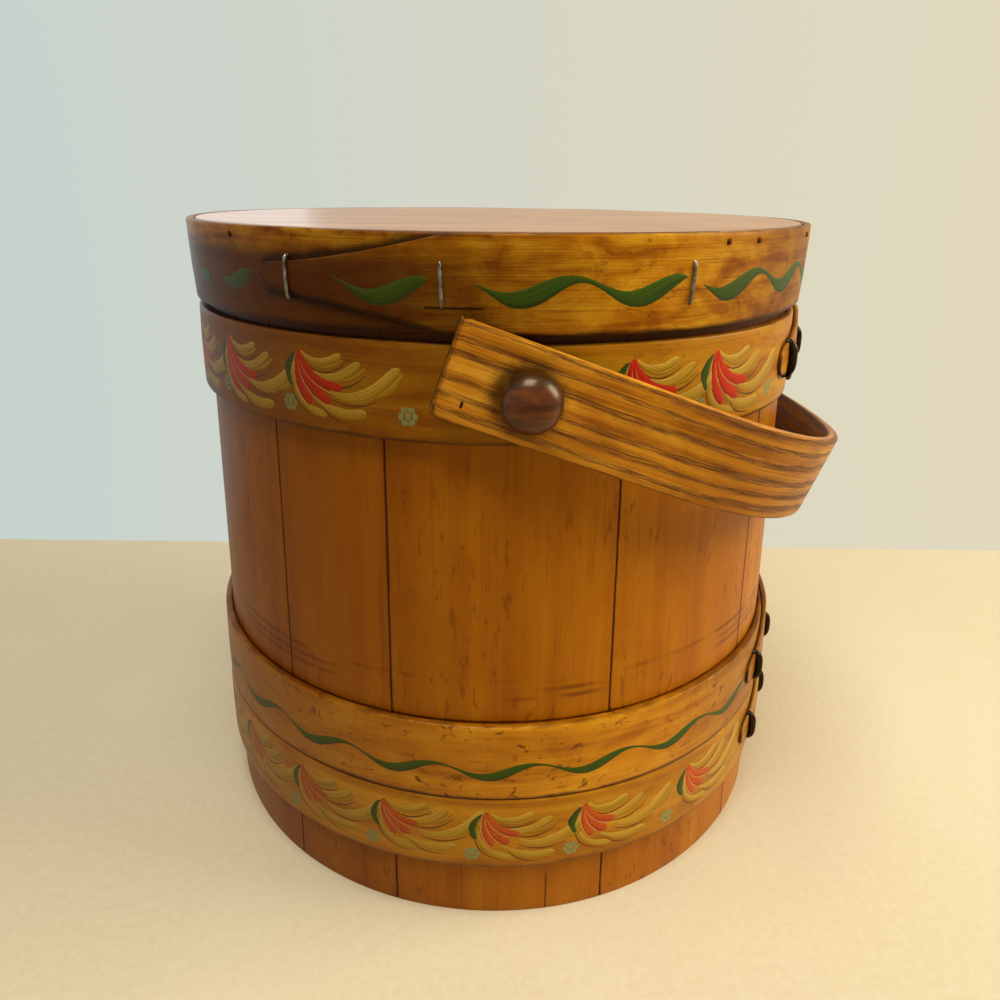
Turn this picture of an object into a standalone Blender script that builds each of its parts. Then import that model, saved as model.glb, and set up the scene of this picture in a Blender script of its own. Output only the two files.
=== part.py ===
"""Wooden firkin: a staved bucket with lapped wooden hoops, a lift-off lid and a bent bail handle.

Metres, +Z up. The bucket stands on the plane z = 0, and the origin is under the middle of its box.
Turns are angles about the bucket's axis, from the front (-Y) towards +X.
"""

import math

import bmesh
import bpy
from mathutils import Matrix, Vector

# Staves
STAVE_FOOT_RADIUS = 0.1585
STAVE_TOP_RADIUS = 0.1442
STAVE_HEIGHT = 0.292
STAVE_THICKNESS = 0.010
STAVE_WIDTH_SHARES = (21, 36, 33, 27, 34, 25, 31, 22, 35, 28, 30, 38)
FIRST_SEAM_TURN = math.radians(-42)

# Bottom board, and the groove in the staves that holds its rim
BOTTOM_HEIGHT = 0.016
BOTTOM_THICKNESS = 0.010
BOTTOM_RIM_THICKNESS = 0.005
BOTTOM_BEVEL_WIDTH = 0.012
GROOVE_DEPTH = 0.004

# Hoops
HOOP_THICKNESS = 0.0036
HOOP_END_THICKNESS = 0.0012
HOOP_LAP_LENGTH = 0.080
HOOP_TONGUE_LENGTH = 0.050
HOOP_TONGUE_TIP_WIDTH = 0.012
HOOP_LAP_TURN = math.radians(50)
LOWER_HOOP_HEIGHT = 0.031
LOWER_HOOP_WIDTH = 0.038
MIDDLE_HOOP_WIDTH = 0.0377
UPPER_HOOP_WIDTH = 0.0365
UPPER_HOOP_DROP = 0.0033

# Lid
LID_SIDE_CLEARANCE = 0.00114
LID_BOARD_THICKNESS = 0.012
LID_BAND_WIDTH = 0.034
LID_BAND_THICKNESS = 0.0032
LID_BAND_TAPER = 0.0004
LID_BAND_END_THICKNESS = 0.0008
LID_LAP_LENGTH = 0.176
LID_TONGUE_LENGTH = 0.105
LID_TONGUE_TIP_WIDTH = 0.010
LID_LAP_TURN = math.radians(-40)

# Staples and nails
STAPLE_WIRE_RADIUS = 0.0008
HOOP_STAPLE_SPAN = 0.015
HOOP_STAPLE_SETBACKS = (0.013, 0.055)
LID_STAPLE_SPAN = 0.015
LID_STAPLE_SETBACKS = (0.014, 0.073, 0.162)
NAIL_HEAD_WIDTH = 0.0030
NAIL_HEAD_THICKNESS = 0.0007
NAIL_SHANK_WIDTH = 0.0016
NAIL_LENGTH = 0.012
NAIL_DROP = 0.0035
NAIL_TURNS_DEG = (-47, 29.3, 36.3, 57, 84, 112, 140, 168, 196, 224, 252, 280)

# Pegs that the bail turns on
PEG_RISE = 0.00175
PEG_SHANK_RADIUS = 0.006
PEG_INSIDE_LENGTH = 0.010
PEG_TURNS = (0, math.pi)
PEG_SIDES = ("front", "back")
KNOB_RADIUS = 0.011
KNOB_LENGTH = 0.016
KNOB_PROFILE_SHARES = (
    (0, 1), (0.5, 1), (0.76, 0.93), (0.93, 0.78),
    (1, 0.55), (0.97, 0.34), (0.86, 0.14), (0.72, 0),
)
PEG_PIN_RADIUS = 0.0013
PEG_PIN_LENGTH = 0.026

# Bail
BAIL_WIDTH = 0.036
BAIL_THICKNESS = 0.0048
BAIL_BOW_DEPTH = 0.105
BAIL_BOW_SQUARENESS = 2.2
BAIL_END_OVERHANG = 0.0315
BAIL_SIDE_CLEARANCE = 0.0008
BAIL_LID_CLEARANCE = 0.0057
BAIL_PEG_CLEARANCE = 0.0005

# Gaps and fineness
FIT_GAP = 0.0003
CUT_OVERRUN = 0.002
WELD_DISTANCE = 0.00001
FACET_TURN = math.radians(5)
ROUND_STEPS = 72
PEG_STEPS = 24
HOLE_STEPS = 24
LEG_HOLE_STEPS = 8
PIN_STEPS = 12
SQUARE_STEPS = 4
BAIL_ARM_STEPS = 1
BAIL_BOW_STEPS = 26

# Worked out from the sizes above
FACET_REACH = 1 / math.cos(FACET_TURN / 2)
MIDDLE_HOOP_HEIGHT = LOWER_HOOP_HEIGHT + LOWER_HOOP_WIDTH + FIT_GAP
LID_BOARD_HEIGHT = STAVE_HEIGHT + FIT_GAP
LID_TOP = LID_BOARD_HEIGHT + LID_BOARD_THICKNESS
LID_BAND_HEIGHT = LID_TOP - LID_BAND_WIDTH
LID_LAP_RISE = LID_BAND_END_THICKNESS + FIT_GAP
UPPER_HOOP_HEIGHT = LID_BAND_HEIGHT - UPPER_HOOP_DROP - UPPER_HOOP_WIDTH
PEG_HEIGHT = UPPER_HOOP_HEIGHT + UPPER_HOOP_WIDTH / 2 + PEG_RISE


def stave_radius(height):
    """Outer radius of the staves at a height."""
    share = height / STAVE_HEIGHT
    return STAVE_FOOT_RADIUS + (STAVE_TOP_RADIUS - STAVE_FOOT_RADIUS) * share


def hoop_seat(height):
    """Inner radius of a hoop at a height."""
    return (stave_radius(height) + FIT_GAP) * FACET_REACH


# The lid's radius follows the staves, and the bail's span and reach clear the lid and the upper hoop
LID_RADIUS = stave_radius(LID_BAND_HEIGHT) + LID_SIDE_CLEARANCE + LID_BAND_THICKNESS + LID_BAND_TAPER
LID_REACH = (LID_RADIUS + LID_LAP_RISE) * FACET_REACH
UPPER_HOOP_REACH = hoop_seat(UPPER_HOOP_HEIGHT) + HOOP_THICKNESS
BAIL_HALF_SPAN = max(LID_REACH, UPPER_HOOP_REACH) + BAIL_SIDE_CLEARANCE
BAIL_REACH = math.hypot(LID_REACH, LID_TOP - PEG_HEIGHT) + BAIL_LID_CLEARANCE
KNOB_SEAT = BAIL_HALF_SPAN + BAIL_THICKNESS + BAIL_PEG_CLEARANCE


def lid_band_seat(height):
    """Inner radius of the lid's band at a height."""
    drop = (LID_TOP - height) / LID_BAND_WIDTH
    return LID_RADIUS - LID_BAND_TAPER * drop - LID_BAND_THICKNESS


def bail_drop():
    """How far the arms slope down when the bow leans on the staves, as an angle."""
    taper = (STAVE_FOOT_RADIUS - STAVE_TOP_RADIUS) / STAVE_HEIGHT
    half_width = BAIL_WIDTH / 2
    along = BAIL_REACH - taper * half_width
    across = half_width + taper * BAIL_REACH
    level = stave_radius(PEG_HEIGHT) + FIT_GAP
    return math.acos(level / math.hypot(along, across)) - math.atan2(across, along)


def bucket_axis_x():
    """Where the bucket's axis lies, so that the origin is under the middle of the whole firkin."""
    drop = bail_drop()
    bow_reach = (BAIL_REACH + BAIL_THICKNESS) * math.cos(drop) + BAIL_WIDTH / 2 * math.sin(drop)
    hoop_reach = hoop_seat(LOWER_HOOP_HEIGHT) + HOOP_THICKNESS
    return (hoop_reach - bow_reach) / 2


def ring_point(turn, radius, height):
    """The point at a turn about the bucket's axis."""
    return Vector((radius * math.sin(turn), -radius * math.cos(turn), height))


def eased(share):
    """A smooth step from 0 to 1."""
    share = min(max(share, 0), 1)
    return share * share * (3 - 2 * share)


# The scene, its collections, materials and parents


def clear_scene():
    """Removes the objects of the startup scene."""
    for thing in list(bpy.data.objects):
        bpy.data.objects.remove(thing, do_unlink=True)


def new_collection(name):
    """A collection of the scene."""
    collection = bpy.data.collections.new(name)
    bpy.context.scene.collection.children.link(collection)
    return collection


def new_material(name, colour, roughness, metallic=0.0):
    """A Principled material of one colour."""
    material = bpy.data.materials.new(name)
    material.use_nodes = True
    shader = material.node_tree.nodes["Principled BSDF"]
    shader.inputs["Base Color"].default_value = (*colour, 1)
    shader.inputs["Roughness"].default_value = roughness
    shader.inputs["Metallic"].default_value = metallic
    return material


def new_empty(name, collection, parent=None, place=(0, 0, 0)):
    """An empty that pieces are parented to."""
    empty = bpy.data.objects.new(name, None)
    collection.objects.link(empty)
    empty.parent = parent
    empty.location = place
    return empty


def new_object(name, mesh, collection, parent, material=None):
    """An object of a mesh, parented and given its material."""
    piece = bpy.data.objects.new(name, mesh)
    collection.objects.link(piece)
    piece.parent = parent
    if material:
        mesh.materials.append(material)
        mesh.shade_smooth()
        mesh.set_sharp_from_angle(angle=math.radians(30))
    return piece


def new_cutter(name, mesh, collection, parent):
    """A helper object that only cuts others."""
    cutter = new_object(name, mesh, collection, parent)
    cutter.hide_render = True
    cutter.display_type = "WIRE"
    return cutter


def cut(piece, cutter):
    """Cuts a helper's shape out of a piece."""
    boolean = piece.modifiers.new(f"cut_{cutter.name}", "BOOLEAN")
    boolean.operation = "DIFFERENCE"
    boolean.object = cutter


# Shapes


def slab_mesh(name, steps, place):
    """A unit slab cut into steps along its length, each corner moved by place(along, through, across)."""
    shape = bmesh.new()
    bmesh.ops.create_cube(shape, size=1, matrix=Matrix.Translation((0.5, 0.5, 0.5)))
    lengthwise = [edge for edge in shape.edges if edge.verts[0].co.x != edge.verts[1].co.x]
    if steps > 1:
        bmesh.ops.subdivide_edges(shape, edges=lengthwise, cuts=steps - 1)
    for corner in shape.verts:
        corner.co = place(*corner.co)
    bmesh.ops.recalc_face_normals(shape, faces=shape.faces)
    mesh = bpy.data.meshes.new(name)
    shape.to_mesh(mesh)
    shape.free()
    return mesh


def rod_mesh(name, radius, start, end, steps):
    """A straight rod from start to end."""
    shape = bmesh.new()
    run = end - start
    matrix = Matrix.Translation((start + end) / 2) @ run.to_track_quat("Z", "Y").to_matrix().to_4x4()
    sizes = {"radius1": radius, "radius2": radius, "depth": run.length}
    bmesh.ops.create_cone(shape, cap_ends=True, segments=steps, matrix=matrix, **sizes)
    mesh = bpy.data.meshes.new(name)
    shape.to_mesh(mesh)
    shape.free()
    return mesh


def turned(piece, steps):
    """Turns a piece's profile about its own Z axis."""
    screw = piece.modifiers.new("turn", "SCREW")
    screw.axis = "Z"
    screw.steps = steps
    screw.render_steps = steps
    screw.use_merge_vertices = True
    screw.merge_threshold = WELD_DISTANCE
    screw.use_smooth_shade = False


def profile_mesh(name, points):
    """An open profile of (radius, height) points, from the top of the axis down the outer side."""
    mesh = bpy.data.meshes.new(name)
    corners = [(radius, 0, height) for radius, height in points]
    edges = [(first, first + 1) for first in range(len(points) - 1)]
    mesh.from_pydata(corners, edges, [])
    return mesh


def disc_profile(radius, low, high):
    """Profile of a plain disc between two heights."""
    return [(0, high), (radius, high), (radius, low), (0, low)]


def wire_mesh(name, points, radius, collection):
    """A round wire through points, with closed ends, as a mesh."""
    curve = bpy.data.curves.new(name, "CURVE")
    curve.dimensions = "3D"
    curve.bevel_depth = radius
    curve.bevel_resolution = 1
    curve.use_fill_caps = True
    run = curve.splines.new("POLY")
    run.points.add(len(points) - 1)
    for spot, point in zip(run.points, points):
        spot.co = (*point, 1)
    drawn = bpy.data.objects.new(name, curve)
    collection.objects.link(drawn)
    graph = bpy.context.evaluated_depsgraph_get()
    mesh = bpy.data.meshes.new_from_object(drawn.evaluated_get(graph))
    bpy.data.objects.remove(drawn, do_unlink=True)
    shape = bmesh.new()
    shape.from_mesh(mesh)
    bmesh.ops.remove_doubles(shape, verts=shape.verts, dist=WELD_DISTANCE)
    bmesh.ops.recalc_face_normals(shape, faces=shape.faces)
    shape.to_mesh(mesh)
    shape.free()
    return mesh


class LappedBand:
    """A wooden band bent once round and lapped on itself, with a tapered tongue on its outer end.

    Distances run along the band from its covered inner end. The tongue's tip is the far end,
    and the band runs against the turn, so that the tongue points to the left seen from outside.
    """

    def __init__(self, name, seat, low, width, thickness, end_thickness, lap, tongue, tip_width, tip_turn):
        self.name = name
        self.seat = seat
        self.low = low
        self.width = width
        self.thickness = thickness
        self.end_thickness = end_thickness
        self.tongue = tongue
        self.tip_width = tip_width
        self.tip_turn = tip_turn
        self.radius = seat(low + width / 2)
        self.lap = lap
        self.round = 2 * math.pi * self.radius
        self.length = self.round + lap

    def turn_at(self, distance):
        """The turn at a distance along the band."""
        return self.tip_turn + (self.length - distance) / self.radius

    def thickness_at(self, distance):
        """Thickness, which thins along the lap towards both ends."""
        to_end = min(distance, self.length - distance)
        share = min(to_end / self.lap, 1)
        return self.end_thickness + (self.thickness - self.end_thickness) * share

    def rise_at(self, distance):
        """How far the band's inner side is lifted by the end that it covers."""
        covered = distance - self.round
        if covered > 0:
            return self.thickness_at(covered) + FIT_GAP
        lift = self.end_thickness + FIT_GAP
        ramp = self.lap / 4
        return lift * eased((covered + ramp) / ramp)

    def edges_at(self, distance):
        """Lower and upper edge, which close in along the tongue."""
        share = eased((distance - (self.length - self.tongue)) / self.tongue)
        inset = (self.width - self.tip_width) / 2 * share
        return self.low + inset, self.low + self.width - inset

    def outside(self, distance, height):
        """Outer radius at a distance and a height."""
        return self.seat(height) + self.rise_at(distance) + self.thickness_at(distance)

    def place(self, along, through, across):
        """The band's point for shares of its length, thickness and width."""
        distance = along * self.length
        low, high = self.edges_at(distance)
        height = low + (high - low) * across
        radius = self.seat(height) + self.rise_at(distance) + self.thickness_at(distance) * through
        return ring_point(self.turn_at(distance), radius, height)

    def mesh(self):
        """The band's mesh."""
        steps = math.ceil(self.length / self.radius / FACET_TURN)
        return slab_mesh(self.name, steps, self.place)

    def setback_turn(self, setback):
        """The turn at a setback from the tongue's tip."""
        return self.turn_at(self.length - setback)


# The bucket


def stave_mesh(name, start, end):
    """One stave between two turns, tapered like the bucket."""

    def place(along, through, across):
        height = STAVE_HEIGHT * across
        outer = stave_radius(height)
        radius = outer - STAVE_THICKNESS * (1 - through)
        seam = FIT_GAP / 2 / radius
        turn = start + seam + (end - start - 2 * seam) * along
        return ring_point(turn, radius, height)

    return slab_mesh(name, math.ceil((end - start) / FACET_TURN), place)


def bottom_profile(grow):
    """Profile of the bottom board, grown on all sides for the groove that it fits."""
    middle = BOTTOM_HEIGHT + BOTTOM_THICKNESS / 2
    rim = stave_radius(middle) - STAVE_THICKNESS + GROOVE_DEPTH - FIT_GAP + grow
    flat = rim - BOTTOM_BEVEL_WIDTH
    half = BOTTOM_THICKNESS / 2 + grow
    half_rim = BOTTOM_RIM_THICKNESS / 2 + grow
    return [
        (0, middle + half),
        (flat, middle + half),
        (rim, middle + half_rim),
        (rim, middle - half_rim),
        (flat, middle - half),
        (0, middle - half),
    ]


def make_staves(parts, axis, groove, peg_holes, material):
    """The staves, grooved for the bottom board and bored for the pegs."""
    total = sum(STAVE_WIDTH_SHARES)
    start = FIRST_SEAM_TURN
    for number, share in enumerate(STAVE_WIDTH_SHARES, 1):
        end = start + 2 * math.pi * share / total
        name = f"stave_{number:02d}"
        stave = new_object(name, stave_mesh(name, start, end), parts, axis, material)
        cut(stave, groove)
        margin = (PEG_SHANK_RADIUS + CUT_OVERRUN) / (STAVE_TOP_RADIUS - STAVE_THICKNESS)
        for turn, hole in peg_holes:
            if start - margin < turn < end + margin:
                cut(stave, hole)
        start = end


def make_bottom(parts, axis, material):
    """The bottom board, bevelled to a thin rim."""
    mesh = profile_mesh("bottom_board", bottom_profile(0))
    board = new_object("bottom_board", mesh, parts, axis, material)
    turned(board, ROUND_STEPS)


def lower_hoop():
    """The hoop nearest the foot."""
    return hoop("lower_hoop", LOWER_HOOP_HEIGHT, LOWER_HOOP_WIDTH)


def middle_hoop():
    """The hoop that sits on the lower one."""
    return hoop("middle_hoop", MIDDLE_HOOP_HEIGHT, MIDDLE_HOOP_WIDTH)


def upper_hoop():
    """The hoop under the lid."""
    return hoop("upper_hoop", UPPER_HOOP_HEIGHT, UPPER_HOOP_WIDTH)


def hoop(name, low, width):
    """A bucket hoop at a height."""
    return LappedBand(
        name, hoop_seat, low, width, HOOP_THICKNESS, HOOP_END_THICKNESS,
        HOOP_LAP_LENGTH, HOOP_TONGUE_LENGTH, HOOP_TONGUE_TIP_WIDTH, HOOP_LAP_TURN,
    )


def staple_points(band, setback, span):
    """Route of a staple's wire: leg, crown and leg, with its corners eased."""
    distance = band.length - setback
    turn = band.turn_at(distance)
    middle = band.low + band.width / 2
    points = []
    for side in (1, -1):
        leg_height = middle + side * (span / 2 - STAPLE_WIRE_RADIUS)
        crown = band.outside(distance, leg_height) + FIT_GAP / 2 + STAPLE_WIRE_RADIUS
        inner = band.seat(leg_height) + FIT_GAP * 2
        bend = STAPLE_WIRE_RADIUS
        leg = [(inner, leg_height), (crown - bend, leg_height), (crown, leg_height - side * bend)]
        points += leg if side > 0 else leg[::-1]
    return [ring_point(turn, radius, height) for radius, height in points]


def make_staples(parts, cutters, axis, piece, band, setbacks, span, material):
    """The staples that hold a band's lap, and their holes in it."""
    for number, setback in enumerate(setbacks, 1):
        name = f"{band.name}_staple_{number}"
        mesh = wire_mesh(name, staple_points(band, setback, span), STAPLE_WIRE_RADIUS, parts)
        new_object(name, mesh, parts, axis, material)
        turn = band.setback_turn(setback)
        for side in (1, -1):
            height = band.low + band.width / 2 + side * (span / 2 - STAPLE_WIRE_RADIUS)
            start = ring_point(turn, band.seat(height) + FIT_GAP, height)
            end = ring_point(turn, band.outside(band.length - setback, height) + CUT_OVERRUN, height)
            hole_name = f"{name}_hole_{'upper' if side > 0 else 'lower'}"
            hole = rod_mesh(hole_name, STAPLE_WIRE_RADIUS + FIT_GAP, start, end, LEG_HOLE_STEPS)
            cut(piece, new_cutter(hole_name, hole, cutters, axis))


def make_hoops(parts, cutters, axis, peg_holes, wood, iron):
    """The three hoops with their staples."""
    for band in (lower_hoop(), middle_hoop(), upper_hoop()):
        piece = new_object(band.name, band.mesh(), parts, axis, wood)
        make_staples(parts, cutters, axis, piece, band, HOOP_STAPLE_SETBACKS, HOOP_STAPLE_SPAN, iron)
        if band.low < PEG_HEIGHT < band.low + band.width:
            for _, hole in peg_holes:
                cut(piece, hole)


# The pegs


def peg_hole(side, turn, cutters, axis):
    """Cutter for a peg's hole, from inside the wall to beyond the hoop."""
    radius = PEG_SHANK_RADIUS + FIT_GAP
    start = ring_point(turn, STAVE_TOP_RADIUS - STAVE_THICKNESS - CUT_OVERRUN, PEG_HEIGHT)
    end = ring_point(turn, BAIL_HALF_SPAN + CUT_OVERRUN, PEG_HEIGHT)
    name = f"peg_hole_{side}"
    return new_cutter(name, rod_mesh(name, radius, start, end, HOLE_STEPS), cutters, axis)


def peg_profile():
    """Profile of a peg along its own axis, from the knob's face to the inner end."""
    knob = [(KNOB_RADIUS * wide, KNOB_SEAT + KNOB_LENGTH * out) for wide, out in KNOB_PROFILE_SHARES]
    return knob + [(PEG_SHANK_RADIUS, KNOB_SEAT), (PEG_SHANK_RADIUS, peg_end()), (0, peg_end())]


def wall_inside():
    """Inner radius of the wall at the pegs."""
    return stave_radius(PEG_HEIGHT) - STAVE_THICKNESS


def peg_end():
    """Distance of a peg's inner end from the bucket's axis."""
    return wall_inside() - PEG_INSIDE_LENGTH


def make_pegs(parts, cutters, axis, wood):
    """The two pegs, each held inside by a cross pin."""
    for side, turn in zip(PEG_SIDES, PEG_TURNS):
        name = f"peg_{side}"
        peg = new_object(name, profile_mesh(name, peg_profile()), parts, axis, wood)
        peg.location = (0, 0, PEG_HEIGHT)
        peg.rotation_euler = (math.pi / 2, 0, turn)
        turned(peg, PEG_STEPS)
        pin_radius = (wall_inside() + peg_end()) / 2
        ends = [ring_point(turn, pin_radius, PEG_HEIGHT + up * PEG_PIN_LENGTH / 2) for up in (-1, 1)]
        pin_name = f"peg_pin_{side}"
        new_object(pin_name, rod_mesh(pin_name, PEG_PIN_RADIUS, *ends, PIN_STEPS), parts, axis, wood)
        hole_name = f"peg_pin_hole_{side}"
        hole = rod_mesh(hole_name, PEG_PIN_RADIUS + FIT_GAP, *ends, PIN_STEPS)
        cut(peg, new_cutter(hole_name, hole, cutters, axis))


# The lid


def lid_band():
    """The band round the lid."""
    return LappedBand(
        "lid_band", lid_band_seat, LID_BAND_HEIGHT, LID_BAND_WIDTH, LID_BAND_THICKNESS,
        LID_BAND_END_THICKNESS, LID_LAP_LENGTH, LID_TONGUE_LENGTH, LID_TONGUE_TIP_WIDTH, LID_LAP_TURN,
    )


def nail_profile():
    """Profile of a square nail along its own axis, from its head to its end."""
    head = NAIL_HEAD_WIDTH / math.sqrt(2)
    shank = NAIL_SHANK_WIDTH / math.sqrt(2)
    return [
        (0, NAIL_HEAD_THICKNESS),
        (head, NAIL_HEAD_THICKNESS),
        (head, 0),
        (shank, 0),
        (shank, -NAIL_LENGTH),
        (0, -NAIL_LENGTH),
    ]


def band_distance(band, turn):
    """Distance along a band of its outermost layer at a turn."""
    back = (turn - band.tip_turn) % (2 * math.pi)
    return band.length - back * band.radius


def make_nails(parts, cutters, lid, board, piece, band, iron):
    """The square nails through the band into the lid board's edge."""
    height = LID_TOP - NAIL_DROP
    for number, degrees in enumerate(NAIL_TURNS_DEG, 1):
        turn = math.radians(degrees)
        seat = band.outside(band_distance(band, turn), height) + FIT_GAP
        name = f"lid_nail_{number:02d}"
        nail = new_object(name, profile_mesh(name, nail_profile()), parts, lid, iron)
        nail.location = ring_point(turn, seat, height)
        upright = Matrix.Rotation(math.pi / 2, 3, "X") @ Matrix.Rotation(math.pi / 4, 3, "Z")
        nail.rotation_euler = (Matrix.Rotation(turn, 3, "Z") @ upright).to_euler()
        turned(nail, SQUARE_STEPS)
        start = ring_point(turn, seat - NAIL_LENGTH - FIT_GAP, height)
        end = ring_point(turn, seat + CUT_OVERRUN, height)
        hole_name = f"{name}_hole"
        radius = NAIL_SHANK_WIDTH / math.sqrt(2) + FIT_GAP
        hole = new_cutter(hole_name, rod_mesh(hole_name, radius, start, end, LEG_HOLE_STEPS), cutters, lid)
        cut(piece, hole)
        cut(board, hole)


def make_lid(parts, cutters, lid, wood, band_wood, iron):
    """The lid board, its lapped band, and what fastens them."""
    band = lid_band()
    radius = lid_band_seat(LID_BOARD_HEIGHT) - FIT_GAP
    board_profile = disc_profile(radius, LID_BOARD_HEIGHT, LID_TOP)
    board = new_object("lid_board", profile_mesh("lid_board", board_profile), parts, lid, wood)
    turned(board, ROUND_STEPS)
    piece = new_object(band.name, band.mesh(), parts, lid, band_wood)
    make_staples(parts, cutters, lid, piece, band, LID_STAPLE_SETBACKS, LID_STAPLE_SPAN, iron)
    make_nails(parts, cutters, lid, board, piece, band, iron)


# The bail


def bow_point(step, offset):
    """Reach and side place of the bow at a step from 0 at one arm to 1 at the other, offset outwards."""
    angle = math.pi * step
    power = 2 / BAIL_BOW_SQUARENESS
    depth = math.sin(angle) ** power if 0 < step < 1 else 0
    side = -math.copysign(abs(math.cos(angle)) ** power, math.cos(angle))
    reach = BAIL_REACH - BAIL_BOW_DEPTH + BAIL_BOW_DEPTH * depth
    steep = BAIL_BOW_SQUARENESS - 1
    outward = math.copysign(abs(side) ** steep, side)
    normal = Vector((depth**steep / BAIL_BOW_DEPTH, outward / BAIL_HALF_SPAN))
    normal.normalize()
    return reach + normal.x * offset, side * BAIL_HALF_SPAN + normal.y * offset


def bail_place(along, through, across):
    """The bail's point, with its pivot at the origin and its arms along +X."""
    steps = BAIL_BOW_STEPS + 2 * BAIL_ARM_STEPS
    step = round(along * steps)
    offset = BAIL_THICKNESS * through
    if step < BAIL_ARM_STEPS:
        reach, side = -BAIL_END_OVERHANG, -BAIL_HALF_SPAN - offset
    elif step > steps - BAIL_ARM_STEPS:
        reach, side = -BAIL_END_OVERHANG, BAIL_HALF_SPAN + offset
    else:
        reach, side = bow_point((step - BAIL_ARM_STEPS) / BAIL_BOW_STEPS, offset)
    return Vector((reach, side, BAIL_WIDTH * (across - 0.5)))


def make_bail(parts, cutters, pivot, wood):
    """The bent handle, bored for the pegs."""
    mesh = slab_mesh("bail", BAIL_BOW_STEPS + 2 * BAIL_ARM_STEPS, bail_place)
    bail = new_object("bail", mesh, parts, pivot, wood)
    for side, way in zip(PEG_SIDES, (-1, 1)):
        start = Vector((0, way * (BAIL_HALF_SPAN - CUT_OVERRUN), 0))
        end = Vector((0, way * (BAIL_HALF_SPAN + BAIL_THICKNESS + CUT_OVERRUN), 0))
        name = f"bail_hole_{side}"
        hole = rod_mesh(name, PEG_SHANK_RADIUS + BAIL_PEG_CLEARANCE, start, end, HOLE_STEPS)
        cut(bail, new_cutter(name, hole, cutters, pivot))


def build():
    """The whole firkin."""
    clear_scene()
    parts = new_collection("wooden_firkin")
    cutters = new_collection("cutters")
    honey = new_material("honey_varnished_wood", (0.42, 0.20, 0.045), 0.35)
    amber = new_material("amber_hoop_wood", (0.50, 0.27, 0.07), 0.35)
    oak = new_material("oak_handle", (0.40, 0.19, 0.06), 0.4)
    walnut = new_material("dark_peg_wood", (0.08, 0.025, 0.01), 0.3)
    iron = new_material("dark_iron", (0.10, 0.09, 0.08), 0.45, 1.0)

    axis = new_empty("bucket_axis", parts, place=(bucket_axis_x(), 0, 0))
    lid = new_empty("lid_slide", parts, parent=axis)
    pivot = new_empty("bail_pivot", parts, parent=axis, place=(0, 0, PEG_HEIGHT))
    pivot.rotation_euler = (0, bail_drop(), 0)

    groove_mesh = profile_mesh("bottom_groove", bottom_profile(FIT_GAP))
    groove = new_cutter("bottom_groove", groove_mesh, cutters, axis)
    turned(groove, ROUND_STEPS)
    peg_holes = []
    for side, turn in zip(PEG_SIDES, PEG_TURNS):
        peg_holes.append((turn, peg_hole(side, turn, cutters, axis)))

    make_staves(parts, axis, groove, peg_holes, honey)
    make_bottom(parts, axis, honey)
    make_hoops(parts, cutters, axis, peg_holes, amber, iron)
    make_pegs(parts, cutters, axis, walnut)
    make_lid(parts, cutters, lid, honey, amber, iron)
    make_bail(parts, cutters, pivot, oak)


build()
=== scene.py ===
"""Finish of the wooden firkin: oiled staves, painted hoops, a nailed lid, an oak bail and turned pegs.

Metres, +Z up. Turns are angles about the bucket's axis, from the front (-Y) towards +X.
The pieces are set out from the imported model, so each one lies where its solid does.
"""

import logging
from collections.abc import Callable, Iterable, Sequence
from dataclasses import dataclass
from enum import Enum
from functools import cache
from itertools import accumulate
from math import acos, atan2, copysign, cos, dist, hypot, pi, radians, sin, sqrt, tan

import bmesh
import bpy
from bmesh.types import BMesh
from bpy.types import Material, Mesh, Node, NodeSocket, NodeTree, Object
from mathutils import Matrix, Vector, noise


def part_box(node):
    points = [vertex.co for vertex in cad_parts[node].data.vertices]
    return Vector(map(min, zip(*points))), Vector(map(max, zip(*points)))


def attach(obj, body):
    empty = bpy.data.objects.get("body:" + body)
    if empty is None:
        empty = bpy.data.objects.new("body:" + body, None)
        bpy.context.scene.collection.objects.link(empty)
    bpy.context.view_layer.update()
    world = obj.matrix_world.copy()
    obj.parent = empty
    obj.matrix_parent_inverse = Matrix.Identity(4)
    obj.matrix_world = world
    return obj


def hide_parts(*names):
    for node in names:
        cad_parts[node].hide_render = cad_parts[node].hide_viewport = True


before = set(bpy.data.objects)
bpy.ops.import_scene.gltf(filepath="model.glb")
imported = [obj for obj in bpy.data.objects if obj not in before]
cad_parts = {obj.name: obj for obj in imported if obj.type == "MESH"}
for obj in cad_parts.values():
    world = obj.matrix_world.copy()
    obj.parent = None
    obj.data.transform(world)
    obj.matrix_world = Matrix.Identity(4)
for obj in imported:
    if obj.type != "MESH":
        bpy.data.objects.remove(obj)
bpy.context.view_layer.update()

Point = tuple[float, float]
Colour = tuple[float, float, float, float]
Row = list["Corner"]
Light = tuple[float, float, float]
Stop = tuple[float, Colour]
Inputs = dict[int | str, object]

FIT_GAP = 0.0003
CLEAN = 0.003

log = logging.getLogger("firkin")


class Body(Enum):
    """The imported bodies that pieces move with."""

    BUCKET = "bucket"
    LID = "lid"
    BAIL = "bail"


class Slot(Enum):
    """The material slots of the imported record."""

    STAVES = "stave_wood"
    BOARDS = "board_wood"
    HOOPS = "hoop_wood"
    BAND = "band_wood"
    BAIL = "bail_oak"
    PEGS = "peg_wood"
    IRON = "iron"


# Numbers and places


def rgb(red: int, green: int, blue: int) -> Colour:
    """A linear colour from the red, green and blue of a paint chart, 0 to 255.

    Args:
        red: Red, as a display shows it.
        green: Green, as a display shows it.
        blue: Blue, as a display shows it.

    Returns:
        The linear colour, opaque.
    """
    shares = [value / 255 for value in (red, green, blue)]
    dark_end = 0.04045
    return (*[s / 12.92 if s <= dark_end else ((s + 0.055) / 1.055) ** 2.4 for s in shares], 1.0)


def eased(share: float) -> float:
    """A smooth step from 0 to 1."""
    share = min(max(share, 0.0), 1.0)
    return share * share * (3 - 2 * share)


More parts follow.
